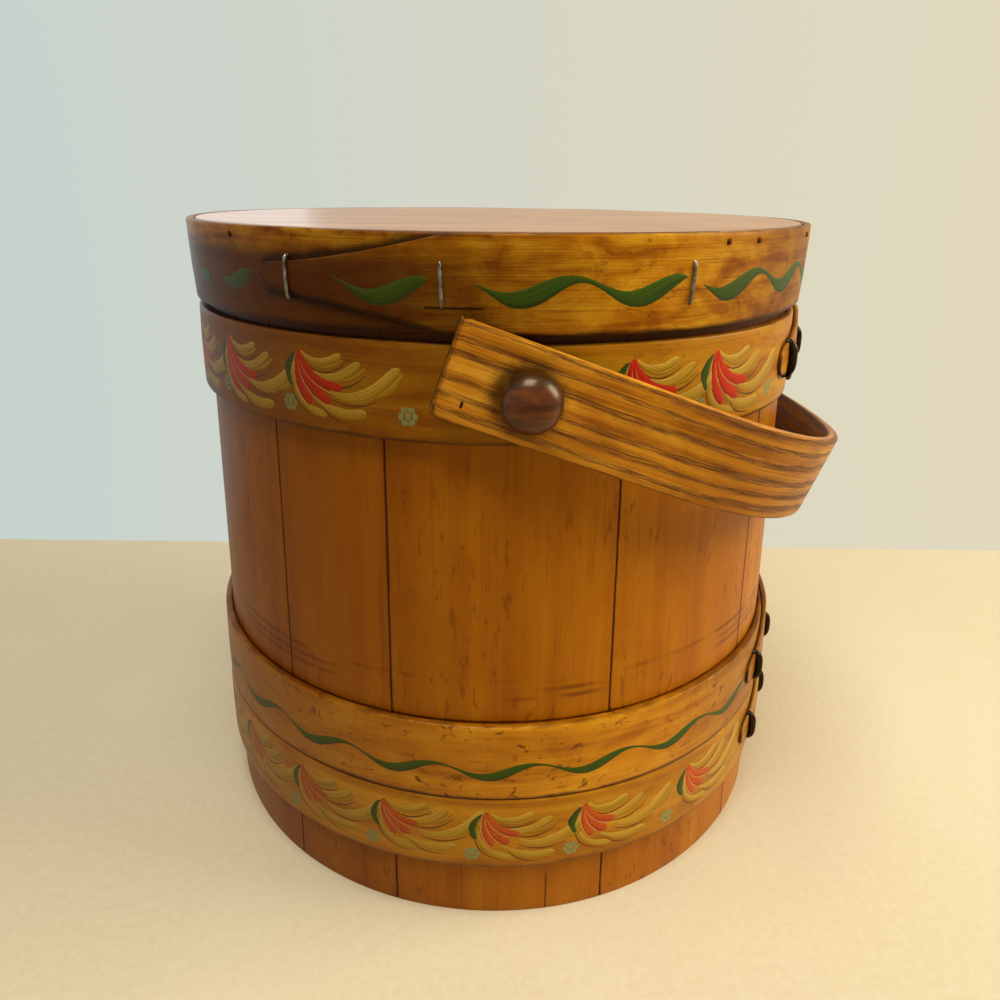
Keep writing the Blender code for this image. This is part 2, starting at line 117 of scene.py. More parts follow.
def spread(first: float, last: float, count: int) -> list[float]:
    """Evenly spaced values from first to last."""
    return [first + (last - first) * step / (count - 1) for step in range(count)]


@cache
def box_of(node: str) -> tuple[Vector, Vector]:
    """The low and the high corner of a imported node's box."""
    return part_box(node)


def box_middle(node: str) -> Vector:
    """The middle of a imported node's box."""
    low, high = box_of(node)
    return (low + high) / 2


def wander(place: float, row: float, reach: float, pace: float) -> float:
    """A hand's unevenness at a place, up to a reach, changing at a pace per metre and unlike in each row."""
    return reach * noise.noise(Vector((place * pace, row * 7.3, row * 1.7)))


@dataclass(frozen=True)
class Wall:
    """The staved wall, which every other piece is set out from.

    Attributes:
        foot_radius: Outer radius at the foot.
        top_radius: Outer radius at the rim.
        height: Height of the staves.
        thickness: Thickness of the staves.
        axis: Where the bucket's axis stands along X.
    """

    foot_radius: float
    top_radius: float
    height: float
    thickness: float
    axis: float

    def radius(self, height: float) -> float:
        """The wall's outer radius at a height."""
        return self.foot_radius + (self.top_radius - self.foot_radius) * height / self.height

    def lean(self) -> float:
        """How far the wall leans inwards, as an angle."""
        return atan2(self.foot_radius - self.top_radius, self.height)

    def point(self, turn: float, radius: float, height: float) -> Vector:
        """The point at a turn about the bucket's axis."""
        return Vector((self.axis + radius * sin(turn), -radius * cos(turn), height))


HOOPS = ("lower_hoop", "middle_hoop", "upper_hoop")
WALL = Wall(
    foot_radius=0.1585,
    top_radius=0.1442,
    height=box_of("stave_01")[1].z,
    thickness=0.010,
    axis=box_middle("bottom_board").x,
)


# Meshes


@dataclass(frozen=True)
class Corner:
    """One point of a swept solid.

    Attributes:
        place: Where it is.
        grain: Distance along the grain and across it, for the wood's finish.
        edge: Distance to the nearest edge that is darkened with dirt and painted shade.
    """

    place: Vector
    grain: Point
    edge: float


def new_piece(name: str, data: bpy.types.ID, finish: Material | None = None) -> Object:
    """An object at the origin.

    Args:
        name: Its name, which its data takes too.
        data: Its mesh, in place, or its camera or lamp.
        finish: Its material, if it needs one and doesn't bring its own.

    Returns:
        The object, linked to the scene.
    """
    data.name = name
    piece = bpy.data.objects.new(name, data)
    bpy.context.scene.collection.objects.link(piece)
    if finish:
        data.materials.append(finish)
    return piece


def finish_mesh(shape: BMesh, sharp_from: float = 40) -> Mesh:
    """Turns a bmesh into a shaded mesh with its faces outwards.

    Args:
        shape: The bmesh, which is freed.
        sharp_from: Angle in degrees from which an edge stays sharp.

    Returns:
        The mesh.
    """
    bmesh.ops.recalc_face_normals(shape, faces=shape.faces)
    mesh = bpy.data.meshes.new("piece")
    shape.to_mesh(mesh)
    shape.free()
    mesh.shade_smooth()
    mesh.set_sharp_from_angle(angle=radians(sharp_from))
    return mesh


def swept_mesh(rows: Sequence[Row]) -> Mesh:
    """A closed solid through rows of corners, each row going once round the section.

    Args:
        rows: The rows. The last corner of a row repeats the first one's place.

    Returns:
        The mesh, with a "grain" UV map and an "edge" attribute.
    """
    shape = bmesh.new()
    grain = shape.loops.layers.uv.new("grain")
    edge = shape.verts.layers.float.new("edge")
    rings = []
    for row in rows:
        rings.append([shape.verts.new(corner.place) for corner in row[:-1]])
        for point, corner in zip(rings[-1], row):
            point[edge] = corner.edge
    steps, last = len(rings[0]), len(rows) - 1
    faces = [
        [(row, step), (row, step + 1), (row + 1, step + 1), (row + 1, step)]
        for row in range(last) for step in range(steps)
    ]
    faces += [[(row, step) for step in range(steps)] for row in (0, last)]
    for spots in faces:
        made = shape.faces.new([rings[row][step % steps] for row, step in spots])
        for loop, (row, step) in zip(made.loops, spots):
            loop[grain].uv = rows[row][step].grain
    return finish_mesh(shape)


def rounded_section(
    width: float, depth: float, rounding: float, face_steps: int, margin: float = 0.0
) -> list[Point]:
    """Points round a rectangle with eased corners, from the middle of its inner side and back to it.

    Args:
        width: Size across.
        depth: Size from the inner side to the outer.
        rounding: Radius of its corners.
        face_steps: Steps along its outer side.
        margin: Width of one more step at each end of its outer side, if it has one.

    Returns:
        (across, through) points. Through is 0 on the inner side and depth on the outer.
    """
    rounding = min(rounding, 0.45 * width, 0.45 * depth)
    half, corner_steps = width / 2 - rounding, 3
    points = [(0.0, 0.0)]
    for side, middle, start in ((1, rounding, -90), (1, depth - rounding, 0)):
        for step in range(corner_steps + 1):
            angle = radians(start + 90 * step / corner_steps)
            points.append((side * (half + rounding * cos(angle)), middle + rounding * sin(angle)))
    outer = [(half * (1 - 2 * step / face_steps), depth) for step in range(1, face_steps)]
    if margin:
        outer = [(half - margin, depth), *outer, (margin - half, depth)]
    mirrored = [(-across, through) for across, through in reversed(points)]
    return points + outer + mirrored


def running(points: Sequence[Point]) -> list[float]:
    """Each point's distance from the first one, measured from point to point."""
    return list(accumulate(map(dist, points, points[1:]), initial=0.0))


def runs_along(points: Sequence[Point]) -> list[float]:
    """Each point's distance round a section from the middle of its outer side."""
    total = running(points)
    return [distance - total[-1] / 2 for distance in total]


def shrunk(points: Sequence[Point], width: float, depth: float, inset: float) -> list[Point]:
    """A section drawn in on all sides, for an eased end.

    Args:
        points: The section's points.
        width: Its size across.
        depth: Its size from the inner side to the outer.
        inset: How far it is drawn in.

    Returns:
        The points.
    """
    wide = 1 - 2 * inset / width
    deep = 1 - 2 * inset / depth
    return [(across * wide, inset + through * deep) for across, through in points]


def end_insets(rounding: float) -> list[Point]:
    """The (distance from the end, inset) of each row that rounds an end, from the end inwards."""
    angles = [radians(angle) for angle in (90, 55, 25, 0)]
    return [(rounding * (1 - sin(angle)), rounding * (1 - cos(angle))) for angle in angles]


def lathe_mesh(
    profile: Sequence[Point],
    steps: int,
    place: Callable[[float, float, float], Vector],
    grain: Callable[[float, float, float], Point],
    edge: Callable[[float, float], float],
) -> Mesh:
    """A turned solid from a profile that starts and ends on the axis.

    Args:
        profile: (radius, height) points, with radius 0 at both ends.
        steps: Steps round the axis.
        place: The point for a turn, a radius and a height.
        grain: The grain's place for a turn, a radius and a height.
        edge: Distance to the nearest edge darkened with dirt and painted shade, for a radius and a height.

    Returns:
        The mesh, with a "grain" UV map and an "edge" attribute.
    """
    shape = bmesh.new()
    grain_map = shape.loops.layers.uv.new("grain")
    edge_layer = shape.verts.layers.float.new("edge")
    rings = []
    for radius, height in profile:
        count = steps if radius > 0 else 1
        ring = [shape.verts.new(place(2 * pi * step / steps, radius, height)) for step in range(count)]
        for point in ring:
            point[edge_layer] = edge(radius, height)
        rings.append(ring)
    for number, ((radius, height), (next_radius, next_height)) in enumerate(zip(profile, profile[1:])):
        for step in range(steps):
            spots = [(number, radius, height, turn) for turn in (step, step + 1)]
            spots += [(number + 1, next_radius, next_height, turn) for turn in (step + 1, step)]
            kept = [spot for spot in spots if spot[1] > 0 or spot[3] == step]
            made = shape.faces.new([rings[row][turn % len(rings[row])] for row, _, _, turn in kept])
            for loop, (_, wide, high, turn) in zip(made.loops, kept):
                loop[grain_map].uv = grain(2 * pi * turn / steps, wide, high)
    return finish_mesh(shape)


def bored(piece: Object, start: Vector, end: Vector, radius: float) -> Object:
    """Bores a round hole through a piece.

    Args:
        piece: The piece.
        start: One end of the drill's path.
        end: The other end.
        radius: The hole's radius.

    Returns:
        The piece, with the hole in its mesh.
    """
    shape = bmesh.new()
    run = end - start
    place = Matrix.Translation((start + end) / 2) @ run.to_track_quat("Z", "Y").to_matrix().to_4x4()
    sizes = {"radius1": radius, "radius2": radius, "depth": run.length, "segments": 48}
    bmesh.ops.create_cone(shape, cap_ends=True, matrix=place, **sizes)
    drill = new_piece("drill", finish_mesh(shape))
    cut = piece.modifiers.new("bore", "BOOLEAN")
    cut.operation = "DIFFERENCE"
    cut.object = drill
    return baked(piece, drill)


def baked(piece: Object, *helpers: Object) -> Object:
    """Turns a piece's evaluated form into its plain mesh, and removes its modifiers and helpers.

    Args:
        piece: The piece with modifiers.
        helpers: Objects that were only needed for them.

    Returns:
        The piece.
    """
    graph = bpy.context.evaluated_depsgraph_get()
    driven = piece.data
    piece.data = bpy.data.meshes.new_from_object(piece.evaluated_get(graph))
    piece.modifiers.clear()
    bpy.data.meshes.remove(driven)
    piece.data.name = piece.name
    for helper in helpers:
        bpy.data.objects.remove(helper, do_unlink=True)
    return piece


def dress(piece: Object, body: Body, slot: Slot | None, nodes: Iterable[str] = ()) -> Object:
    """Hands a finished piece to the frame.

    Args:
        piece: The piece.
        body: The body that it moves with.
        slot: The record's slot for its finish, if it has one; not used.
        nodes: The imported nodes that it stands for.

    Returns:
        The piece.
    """
    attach(piece, body.value)
    if nodes:
        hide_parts(*nodes)
    log.info("%s: %d faces on %s", piece.name, len(piece.data.polygons), body.value)
    return piece


# Node trees


class NodeBuilder:
    """Adds nodes to a tree and wires them."""

    def __init__(self, tree: NodeTree) -> None:
        """Starts on a tree."""
        self.tree = tree

    def node(self, kind: str, inputs: Inputs | None = None, **settings: object) -> Node:
        """A new node.

        Args:
            kind: The node's type.
            inputs: Values or sockets for its inputs, by name or number.
            settings: The node's own settings.

        Returns:
            The node.
        """
        made = self.tree.nodes.new(kind)
        for name, value in settings.items():
            setattr(made, name, value)
        self.feed(made, inputs or {})
        return made

    def first(self, kind: str, inputs: Inputs | None = None, **settings: object) -> NodeSocket:
        """The first output of a new node."""
        return self.node(kind, inputs, **settings).outputs[0]

    def feed(self, node: Node, inputs: Inputs) -> None:
        """Links or sets inputs of a node.

        Args:
            node: The node.
            inputs: A socket or a plain value for each input, by name or number.
        """
        for key, value in inputs.items():
            if isinstance(value, NodeSocket):
                self.tree.links.new(value, node.inputs[key])
            else:
                node.inputs[key].default_value = value

    def math(self, operation: str, *values: object) -> NodeSocket:
        """The result of a Math node."""
        return self.first("ShaderNodeMath", dict(enumerate(values)), operation=operation)

    def minus(self, first: object, second: object) -> NodeSocket:
        """The first value less the second."""
        return self.math("SUBTRACT", first, second)

    def times(self, first: object, second: object) -> NodeSocket:
        """The two values multiplied."""
        return self.math("MULTIPLY", first, second)

    def vector(self, x: object = 0.0, y: object = 0.0, z: object = 0.0) -> NodeSocket:
        """A vector from three values."""
        return self.first("ShaderNodeCombineXYZ", {0: x, 1: y, 2: z})

    def parts(self, vector: NodeSocket) -> list[NodeSocket]:
        """A vector's three values."""
        return list(self.node("ShaderNodeSeparateXYZ", {0: vector}).outputs)


class Shading(NodeBuilder):
    """Builds one material."""

    def __init__(self, name: str) -> None:
        """Starts a material.

        Args:
            name: Its name.
        """
        self.material = bpy.data.materials.new(name)
        self.material.use_nodes = True
        super().__init__(self.material.node_tree)
        self.shader = self.tree.nodes["Principled BSDF"]

    def scaled(self, vector: object, along: float, across: float, third: float = 1.0) -> NodeSocket:
        """A vector scaled differently along and across."""
        return self.first("ShaderNodeMapping", {"Vector": vector, "Scale": (along, across, third)})

    def clouds(self, vector: object, detail: float, roughness: float = 0.5, swirl: float = 0) -> NodeSocket:
        """Noise at scale 1 of an already scaled vector."""
        inputs = {"Scale": 1.0, "Detail": detail, "Roughness": roughness, "Distortion": swirl}
        return self.first("ShaderNodeTexNoise", {"Vector": vector} | inputs)

    def ramp(self, value: object, stops: Sequence[Stop], easing: str = "LINEAR") -> NodeSocket:
        """A colour ramp.

        Args:
            value: What it reads.
            stops: (place, colour) stops in order.
            easing: Its interpolation.

        Returns:
            The colour.
        """
        made = self.node("ShaderNodeValToRGB", {0: value})
        made.color_ramp.interpolation = easing
        elements = made.color_ramp.elements
        while len(elements) < len(stops):
            elements.new(1)
        for element, (place, colour) in zip(elements, stops):
            element.position = place
            element.color = colour
        return made.outputs[0]

    def step(self, value: object, low: float, high: float, start: float = 0.0, end: float = 1) -> NodeSocket:
        """A smooth change from start to end while the value goes from low to high."""
        inputs = {0: value, 1: low, 2: high, 3: start, 4: end}
        return self.first("ShaderNodeMapRange", inputs, interpolation_type="SMOOTHSTEP")

    def mix(self, share: object, first: object, second: object, blend: str = "MIX") -> NodeSocket:
        """Two colours mixed."""
        inputs = {0: share, 6: first, 7: second}
        return self.node("ShaderNodeMix", inputs, data_type="RGBA", blend_type=blend).outputs[2]

    def place(self) -> NodeSocket:
        """Where on the object a point lies, in metres."""
        return self.node("ShaderNodeTexCoord").outputs["Object"]

    def uv_map(self, name: str) -> NodeSocket:
        """Where on a UV map of the piece a point lies."""
        return self.first("ShaderNodeUVMap", uv_map=name)

    def attribute(self, name: str) -> NodeSocket:
        """A mesh attribute's value."""
        return self.node("ShaderNodeAttribute", attribute_name=name).outputs["Fac"]

    def bump(self, height: object, distance: float, strength: float = 1.0) -> None:
        """Relief from a height, in metres at full strength."""
        relief = self.first("ShaderNodeBump", {"Height": height, "Distance": distance, "Strength": strength})
        self.feed(self.shader, {"Normal": relief})

    def sheen(self, roughness: float, coat: float, coat_roughness: float, level: float = 0.22) -> None:
        """How glossy the surface is, all over alike.

        Args:
            roughness: Its roughness.
            coat: Weight of the varnish.
            coat_roughness: The varnish's roughness.
            level: How strongly the surface itself shines.
        """
        inputs = {"Roughness": roughness, "Coat Weight": coat, "Coat Roughness": coat_roughness}
        inputs |= {"Specular IOR Level": level, "Specular Tint": SHEEN_TINT}
        self.feed(self.shader, inputs)


# Finishes


# Where along X the painted shade on the right side starts, and where it is complete.
RIGHT_SHADE_REACH = (0.045, 0.12)
SHEEN_TINT = (1.0, 0.72, 0.3, 1.0)


@dataclass(frozen=True)
class Check:
    """A thin crack in the wood, straight up or straight along.

    Attributes:
        turn: Turn of its middle, in degrees.
        height: Height of its middle.
        half_run: Half of its length along the round.
        half_height: Half of its length upwards.
        share: How dark it is.
    """

    turn: float
    height: float
    half_run: float
    half_height: float
    share: float


@dataclass(frozen=True)
class WoodFinish:
    """Oiled wood with its grain along one direction.

    Attributes:
        name: The material's name.
        pale: Colour of the early wood.
        warm: Colour between.
        dark: Colour of the late wood.
        stain: Colour of marks and of darkened wood.
        band_width: Usual width of a band of grain.
        band_length: Usual length of a band of grain.
        swirl: How much the bands bend.
        blotch_size: Size of the cloudy patches.
        blotch_share: How strongly they show.
        streak_width: Width of the dark streaks.
        streak_share: How strongly they show.
        streak_spacing: Distance between the rows that they gather in, or 0 where they lie anywhere.
        edge_width: How far the darkening of an edge, dirt and painted shade, reaches.
        edge_share: How strongly it shows.
        mark_size: Usual length of a small dark mark.
        mark_shape: Its width as a share of its length.
        mark_share: How strongly they show.
        water_line: Height of the stains that standing water left, or 0 for none.
        left_shade_share: How much painted shade darkens the left side.
        left_shade_reach: Where along X that starts, and where it is complete.
        shade_halved_from: Height from which the left side's painted shade is halved, or 0 for nowhere.
        right_shade_share: How much painted shade darkens the right side.
        checks: Its cracks.
        knob_shade_share: How strongly the painted shade round the knobs shows.
        dirt_and_shade: Colour of the dirt and painted shade along edges, and of the cracks.
        contrast: How far the bands of grain differ.
        roughness: The surface's roughness.
        coat: Weight of the varnish.
        level: How strongly the wood itself shines.
        relief: Depth of the grain.
    """

    name: str
    pale: Colour
    warm: Colour
    dark: Colour
    stain: Colour
    band_width: float = 0.012
    band_length: float = 0.25
    swirl: float = 0.3
    blotch_size: float = 0.05
    blotch_share: float = 0.35
    streak_width: float = 0.0015
    streak_share: float = 0.2
    streak_spacing: float = 0.0
    edge_width: float = 0.002
    edge_share: float = 0.6
    mark_size: float = 0.02
    mark_shape: float = 0.4
    mark_share: float = 0.0
    water_line: float = 0.0
    left_shade_share: float = 0.5
    left_shade_reach: Point = (0.03, -0.13)
    shade_halved_from: float = 0.0
    right_shade_share: float = 0.0
    checks: tuple[Check, ...] = ()
    knob_shade_share: float = 0.0
    dirt_and_shade: Colour = rgb(52, 17, 2)
    contrast: float = 1.0
    roughness: float = 0.42
    coat: float = 0.1
    level: float = 0.16
    relief: float = 0.00012

    def material(self) -> Material:
        """The finish as a material."""
        return WoodShading(self).build()


class WoodShading(Shading):
    """Builds the material of a wood finish, layer over layer."""

    def __init__(self, wood: WoodFinish) -> None:
        """Starts on a finish.

        Args:
            wood: The finish.
        """
        super().__init__(wood.name)
        self.wood = wood
        self.along = self.uv_map("grain")
        self.spot = self.place()
        self.colour: NodeSocket | None = None

    def build(self) -> Material:
        """Lays all the layers.

        Returns:
            The material.
        """
        self.grain()
        for layer in (self.marks, self.watered, self.painted_side_shade, self.edges, self.checked, self.knob_shade):
            layer()
        self.feed(self.shader, {"Base Color": self.colour})
        self.sheen(self.wood.roughness, self.wood.coat, 0.22, self.wood.level)
        return self.material

    def cover(self, share: NodeSocket, colour: Colour) -> None:
        """Lays a colour over the ones so far."""
        self.colour = self.mix(share, self.colour, colour)

    def grain(self) -> None:
        """The bare wood and its relief."""
        wood = self.wood
        fibre_tone, half_range = 0.22, 0.22 / wood.contrast
        bands = self.scaled(self.along, 1 / wood.band_length, 1 / wood.band_width)
        fibres = self.clouds(self.scaled(self.along, 28, 1500), 2, 0.6)
        blotches = self.scaled(self.along, 0.6 / wood.blotch_size, 1 / wood.blotch_size)
        blotches = self.clouds(blotches, 4, 0.6, 0.8)
        tone = self.clouds(bands, 3, 0.55, wood.swirl)
        tone = self.math("MULTIPLY_ADD", self.minus(fibres, 0.5), fibre_tone, tone)
        tone = self.minus(tone, self.times(self.minus(blotches, 0.5), wood.blotch_share * 2))
        stops = ((0.5 - half_range, wood.dark), (0.5, wood.warm), (0.5 + half_range, wood.pale))
        self.colour = self.ramp(tone, stops)
        streak = self.gathered() if wood.streak_spacing else self.scattered()
        self.cover(streak, wood.stain)
        self.bump(self.minus(fibres, streak), wood.relief)

    def scattered(self) -> NodeSocket:
        """Dark streaks that lie anywhere."""
        streaks = self.clouds(self.scaled(self.along, 22, 1 / self.wood.streak_width), 2, 0.5, 0.1)
        return self.times(self.step(streaks, 0.42, 0.3), self.wood.streak_share)

    def gathered(self) -> NodeSocket:
        """Open grain that gathers in rows of short dashes along the wood.

        Returns:
            How dark the grain is.
        """
        across = self.parts(self.along)[1]
        bend = self.clouds(self.scaled(self.along, 7, 60), 2)
        turns = self.math("MULTIPLY_ADD", bend, 1.9, self.math("DIVIDE", across, self.wood.streak_spacing))
        inside = self.step(self.math("SINE", self.times(turns, 2 * pi)), -0.6, 1.0)
        dashes = self.clouds(self.scaled(self.along, 70, 1 / self.wood.streak_width), 4, 0.72, 0.1)
        level = self.math("MULTIPLY_ADD", inside, 0.21, self.minus(0.74, dashes))
        return self.times(self.step(level, 0.3, 0.56), self.wood.streak_share)

    def marks(self) -> None:
        """Small dark flecks and knocks."""
        if not self.wood.mark_share:
            return
        size = 1 / self.wood.mark_size
        flecks = self.clouds(self.scaled(self.along, size, size / self.wood.mark_shape), 5, 0.62, 0.6)
        patches = self.clouds(self.scaled(self.along, size / 6, size / 6), 2)
        near = self.times(self.step(flecks, 0.565, 0.63), self.step(patches, 0.42, 0.56))
        self.cover(self.times(near, self.wood.mark_share), self.wood.stain)

    def watered(self) -> None:
        """The faint lines of a water stain."""
        if not self.wood.water_line:
            return
        waver = self.clouds(self.scaled(self.spot, 30, 30, 8), 3)
        patchy = self.step(self.clouds(self.scaled(self.spot, 24, 24, 60), 3), 0.47, 0.62, 0.0, 0.6)
        for rise in (0.0, 0.004, 0.0085):
            level = self.minus(self.parts(self.spot)[2], self.wood.water_line + rise)
            level = self.math("MULTIPLY_ADD", self.minus(waver, 0.5), 0.002, level)
            near = self.step(self.math("ABSOLUTE", level), 0.0018, 0.0002)
            self.cover(self.times(near, patchy), self.wood.stain)

    def painted_side_shade(self) -> None:
        """Painted shade: darker wood towards the left, and towards the right where that is asked for."""
        along, _, up = self.parts(self.spot)
        share = self.step(along, *self.wood.left_shade_reach, 0.0, self.wood.left_shade_share)
        if self.wood.shade_halved_from:
            kept = self.step(up, self.wood.shade_halved_from, self.wood.shade_halved_from + 0.009, 1.0, 0.5)
            share = self.times(share, kept)
        right = self.step(along, *RIGHT_SHADE_REACH, 0.0, self.wood.right_shade_share)
        self.cover(self.math("ADD", share, right), self.wood.stain)

    def edges(self) -> None:
        """Dirt and painted shade along the edges."""
        width = self.wood.edge_width
        ragged = self.clouds(self.scaled(self.along, 70, 160), 3, 0.6)
        reach = self.math("MULTIPLY_ADD", ragged, -width * 1.4, self.attribute("edge"))
        dirt_and_shade_mask = self.step(reach, width * 0.6, -width * 0.5)
        self.cover(self.times(dirt_and_shade_mask, self.wood.edge_share), self.wood.dirt_and_shade)

    def checked(self) -> None:
        """Thin dark cracks."""
        if not self.wood.checks:
            return
        along, back, up = self.parts(self.spot)
        turn = self.math("ARCTAN2", self.minus(along, WALL.axis), self.times(back, -1.0))
        run = self.times(turn, WALL.foot_radius)
        for check in self.wood.checks:
            middle = radians(check.turn) * WALL.foot_radius
            beyond = []
            for place, centre, half in ((run, middle, check.half_run), (up, check.height, check.half_height)):
                off = self.math("ABSOLUTE", self.minus(place, centre))
                beyond.append(self.math("MAXIMUM", self.minus(off, half), 0.0))
            self.cover(self.step(self.math("ADD", *beyond), 0.0008, 0.0001, 0.0, check.share), self.wood.dirt_and_shade)

    def knob_shade(self) -> None:
        """Painted shade round the pegs' knobs, on the wood beneath them."""
        if not self.wood.knob_shade_share:
            return
        along, _, up = self.parts(self.spot)
        places = ((along, WALL.axis - 0.001), (up, box_middle("peg_front").z - 0.001))
        sides = [self.math("POWER", self.minus(value, middle), 2.0) for value, middle in places]
        distance = self.math("SQRT", self.math("ADD", *sides))
        ragged = self.clouds(self.scaled(self.spot, 260, 260, 260), 3, 0.6)
        distance = self.math("MULTIPLY_ADD", self.minus(ragged, 0.5), 0.004, distance)
        self.cover(self.step(distance, 0.0165, 0.0105, 0.0, self.wood.knob_shade_share), self.wood.dirt_and_shade)


@dataclass(frozen=True)
class PaintFinish:
    """Brushed paint, streaked along the stroke, lighter on one side and darker on the other.

    Attributes:
        name: The material's name.
        body: Its main colour.
        light: Its colour where the brush left more.
        deep: Its colour along the lower side.
        wear: Colour of the wood that shows where it is thin.
        wear_share: How strongly that shows.
        left: Colour of the painted shade towards the left.
        left_shade_share: How strongly that shows.
        left_shade_reach: Where along X that starts, and where it is complete.
    """

    name: str
    body: Colour
    light: Colour
    deep: Colour
    wear: Colour
    wear_share: float = 0.25
    left: Colour = rgb(46, 24, 5)
    left_shade_share: float = 0.55
    left_shade_reach: Point = (0.03, -0.13)

    def material(self) -> Material:
        """Builds the material.

        Returns:
            The material.
        """
        shading = Shading(self.name)
        stroke = shading.uv_map("stroke")
        spot = shading.place()
        across = shading.parts(stroke)[1]
        bristles = shading.clouds(shading.scaled(stroke, 1.5, 9), 3, 0.6)
        side = shading.math("MULTIPLY_ADD", shading.minus(bristles, 0.5), 1.6, across)
        stops = ((0.1, self.deep), (0.42, self.body), (0.62, self.body), (0.9, self.light))
        colour = shading.ramp(side, stops, "EASE")
        worn = shading.step(shading.clouds(shading.scaled(spot, 600, 600, 600), 4, 0.7), 0.52, 0.66)
        colour = shading.mix(shading.times(worn, self.wear_share), colour, self.wear)
        # Painted shade towards the left.
        dull = shading.step(shading.parts(spot)[0], *self.left_shade_reach, 0.0, self.left_shade_share)
        colour = shading.mix(dull, colour, self.left)
        shading.feed(shading.shader, {"Base Color": colour})
        shading.sheen(0.45, 0.05, 0.25)
        shading.bump(bristles, 0.00003)
        return shading.material


@dataclass(frozen=True)
class IronFinish:
    """Old drawn iron, dark with some brown.

    Attributes:
        name: The material's name.
        bare: Colour where it is rubbed.
        dull: Colour where it is dull.
        roughness: The surface's roughness.
    """

    name: str
    bare: Colour
    dull: Colour
    roughness: float = 0.38

    def material(self) -> Material:
        """Builds the material.

        Returns:
            The material.
        """
        shading = Shading(self.name)
        spot = shading.place()
        patches = shading.clouds(shading.scaled(spot, 420, 420, 420), 4, 0.65)
        colour = shading.ramp(patches, ((0.35, self.dull), (0.65, self.bare)))
        shading.feed(shading.shader, {"Base Color": colour, "Metallic": 0.75})
        shading.sheen(self.roughness, 0.0, 0.2)
        shading.bump(patches, 0.00008)
        return shading.material


FOOT_CHECKS = (
    Check(turn=-9.4, height=0.0165, half_run=0.0, half_height=0.016, share=0.35),
    Check(turn=5.0, height=0.0105, half_run=0.0, half_height=0.011, share=0.8),
)
LID_CHECKS = (Check(turn=-9.9, height=0.2797, half_run=0.0105, half_height=0.0, share=0.95),)
# In the wood finishes, the left and right shares paint shade on the sides that get less light.
STAVE_FINISH = WoodFinish(
    "oiled_amber_staves", rgb(194, 122, 8), rgb(177, 102, 4), rgb(150, 78, 1), rgb(84, 27, 1),
    band_width=0.016, band_length=0.6, swirl=0.1, blotch_size=0.045, blotch_share=0.3, contrast=0.7,
    streak_width=0.0018, streak_share=0.16, edge_width=0.0007, edge_share=0.9, checks=FOOT_CHECKS,
    mark_size=0.012, mark_shape=0.3, mark_share=0.4, water_line=0.1185, dirt_and_shade=rgb(70, 18, 2),
    left_shade_share=0.64, left_shade_reach=(0.04, -0.13), coat=0.08, level=0.12,
)
BOARD_FINISH = WoodFinish(
    "oiled_board", rgb(178, 124, 70), rgb(158, 101, 49), rgb(136, 78, 32), rgb(50, 16, 2),
    band_width=0.009, band_length=0.4, left_shade_share=0.0, edge_width=0.0012, edge_share=0.8, coat=0.45,
    roughness=0.35, level=0.5,
)
HOOP_FINISH = WoodFinish(
    "honey_hoop_wood", rgb(222, 156, 30), rgb(205, 132, 15), rgb(168, 98, 8), rgb(98, 42, 6),
    band_width=0.009, band_length=0.12, blotch_size=0.02, blotch_share=0.4,
    edge_width=0.0018, edge_share=0.85, mark_size=0.0055, mark_shape=0.75, mark_share=0.85, streak_share=0.14,
    left_shade_share=0.76, right_shade_share=0.55,
)
LOWER_HOOP_FINISH = WoodFinish(
    "golden_ochre_hoop_wood", rgb(206, 146, 26), rgb(186, 121, 15), rgb(152, 88, 8), rgb(84, 34, 4),
    band_width=0.009, band_length=0.12, blotch_size=0.035, blotch_share=0.35,
    edge_width=0.0016, edge_share=0.8, streak_share=0.1, mark_size=0.006, mark_share=0.3, right_shade_share=0.22,
)
UPPER_HOOP_FINISH = WoodFinish(
    "dark_ochre_hoop_wood", rgb(202, 144, 20), rgb(182, 118, 11), rgb(150, 86, 6), rgb(84, 36, 3),
    band_width=0.009, band_length=0.12, blotch_size=0.03, blotch_share=0.4,
    edge_width=0.0016, edge_share=0.8, streak_share=0.12, mark_size=0.006, mark_share=0.25,
    left_shade_share=0.88, left_shade_reach=(0.06, -0.13), coat=0.07, level=0.12,
)
LID_BAND_FINISH = WoodFinish(
    "mottled_band_wood", rgb(212, 152, 30), rgb(188, 120, 14), rgb(146, 80, 5), rgb(66, 24, 2),
    band_width=0.006, band_length=0.05, blotch_size=0.011, blotch_share=0.62, swirl=0.7, contrast=0.9,
    edge_width=0.0018, edge_share=0.85, streak_share=0.3, streak_width=0.0010, mark_size=0.006,
    mark_shape=0.5, mark_share=0.4, left_shade_share=0.95, left_shade_reach=(0.045, -0.065), shade_halved_from=0.2925,
    right_shade_share=0.52, checks=LID_CHECKS, dirt_and_shade=rgb(34, 11, 2), coat=0.05, level=0.1,
)
OAK_FINISH = WoodFinish(
    "streaked_oak", rgb(232, 164, 46), rgb(206, 132, 26), rgb(160, 90, 12), rgb(84, 36, 5),
    band_width=0.005, band_length=0.16, swirl=0.15, blotch_size=0.022, blotch_share=0.3, contrast=1.1,
    streak_width=0.0006, streak_share=0.85, streak_spacing=0.0062, edge_width=0.0009, edge_share=0.76,
    left_shade_share=0.0, right_shade_share=0.26, knob_shade_share=0.8, relief=0.00025, roughness=0.4,
)
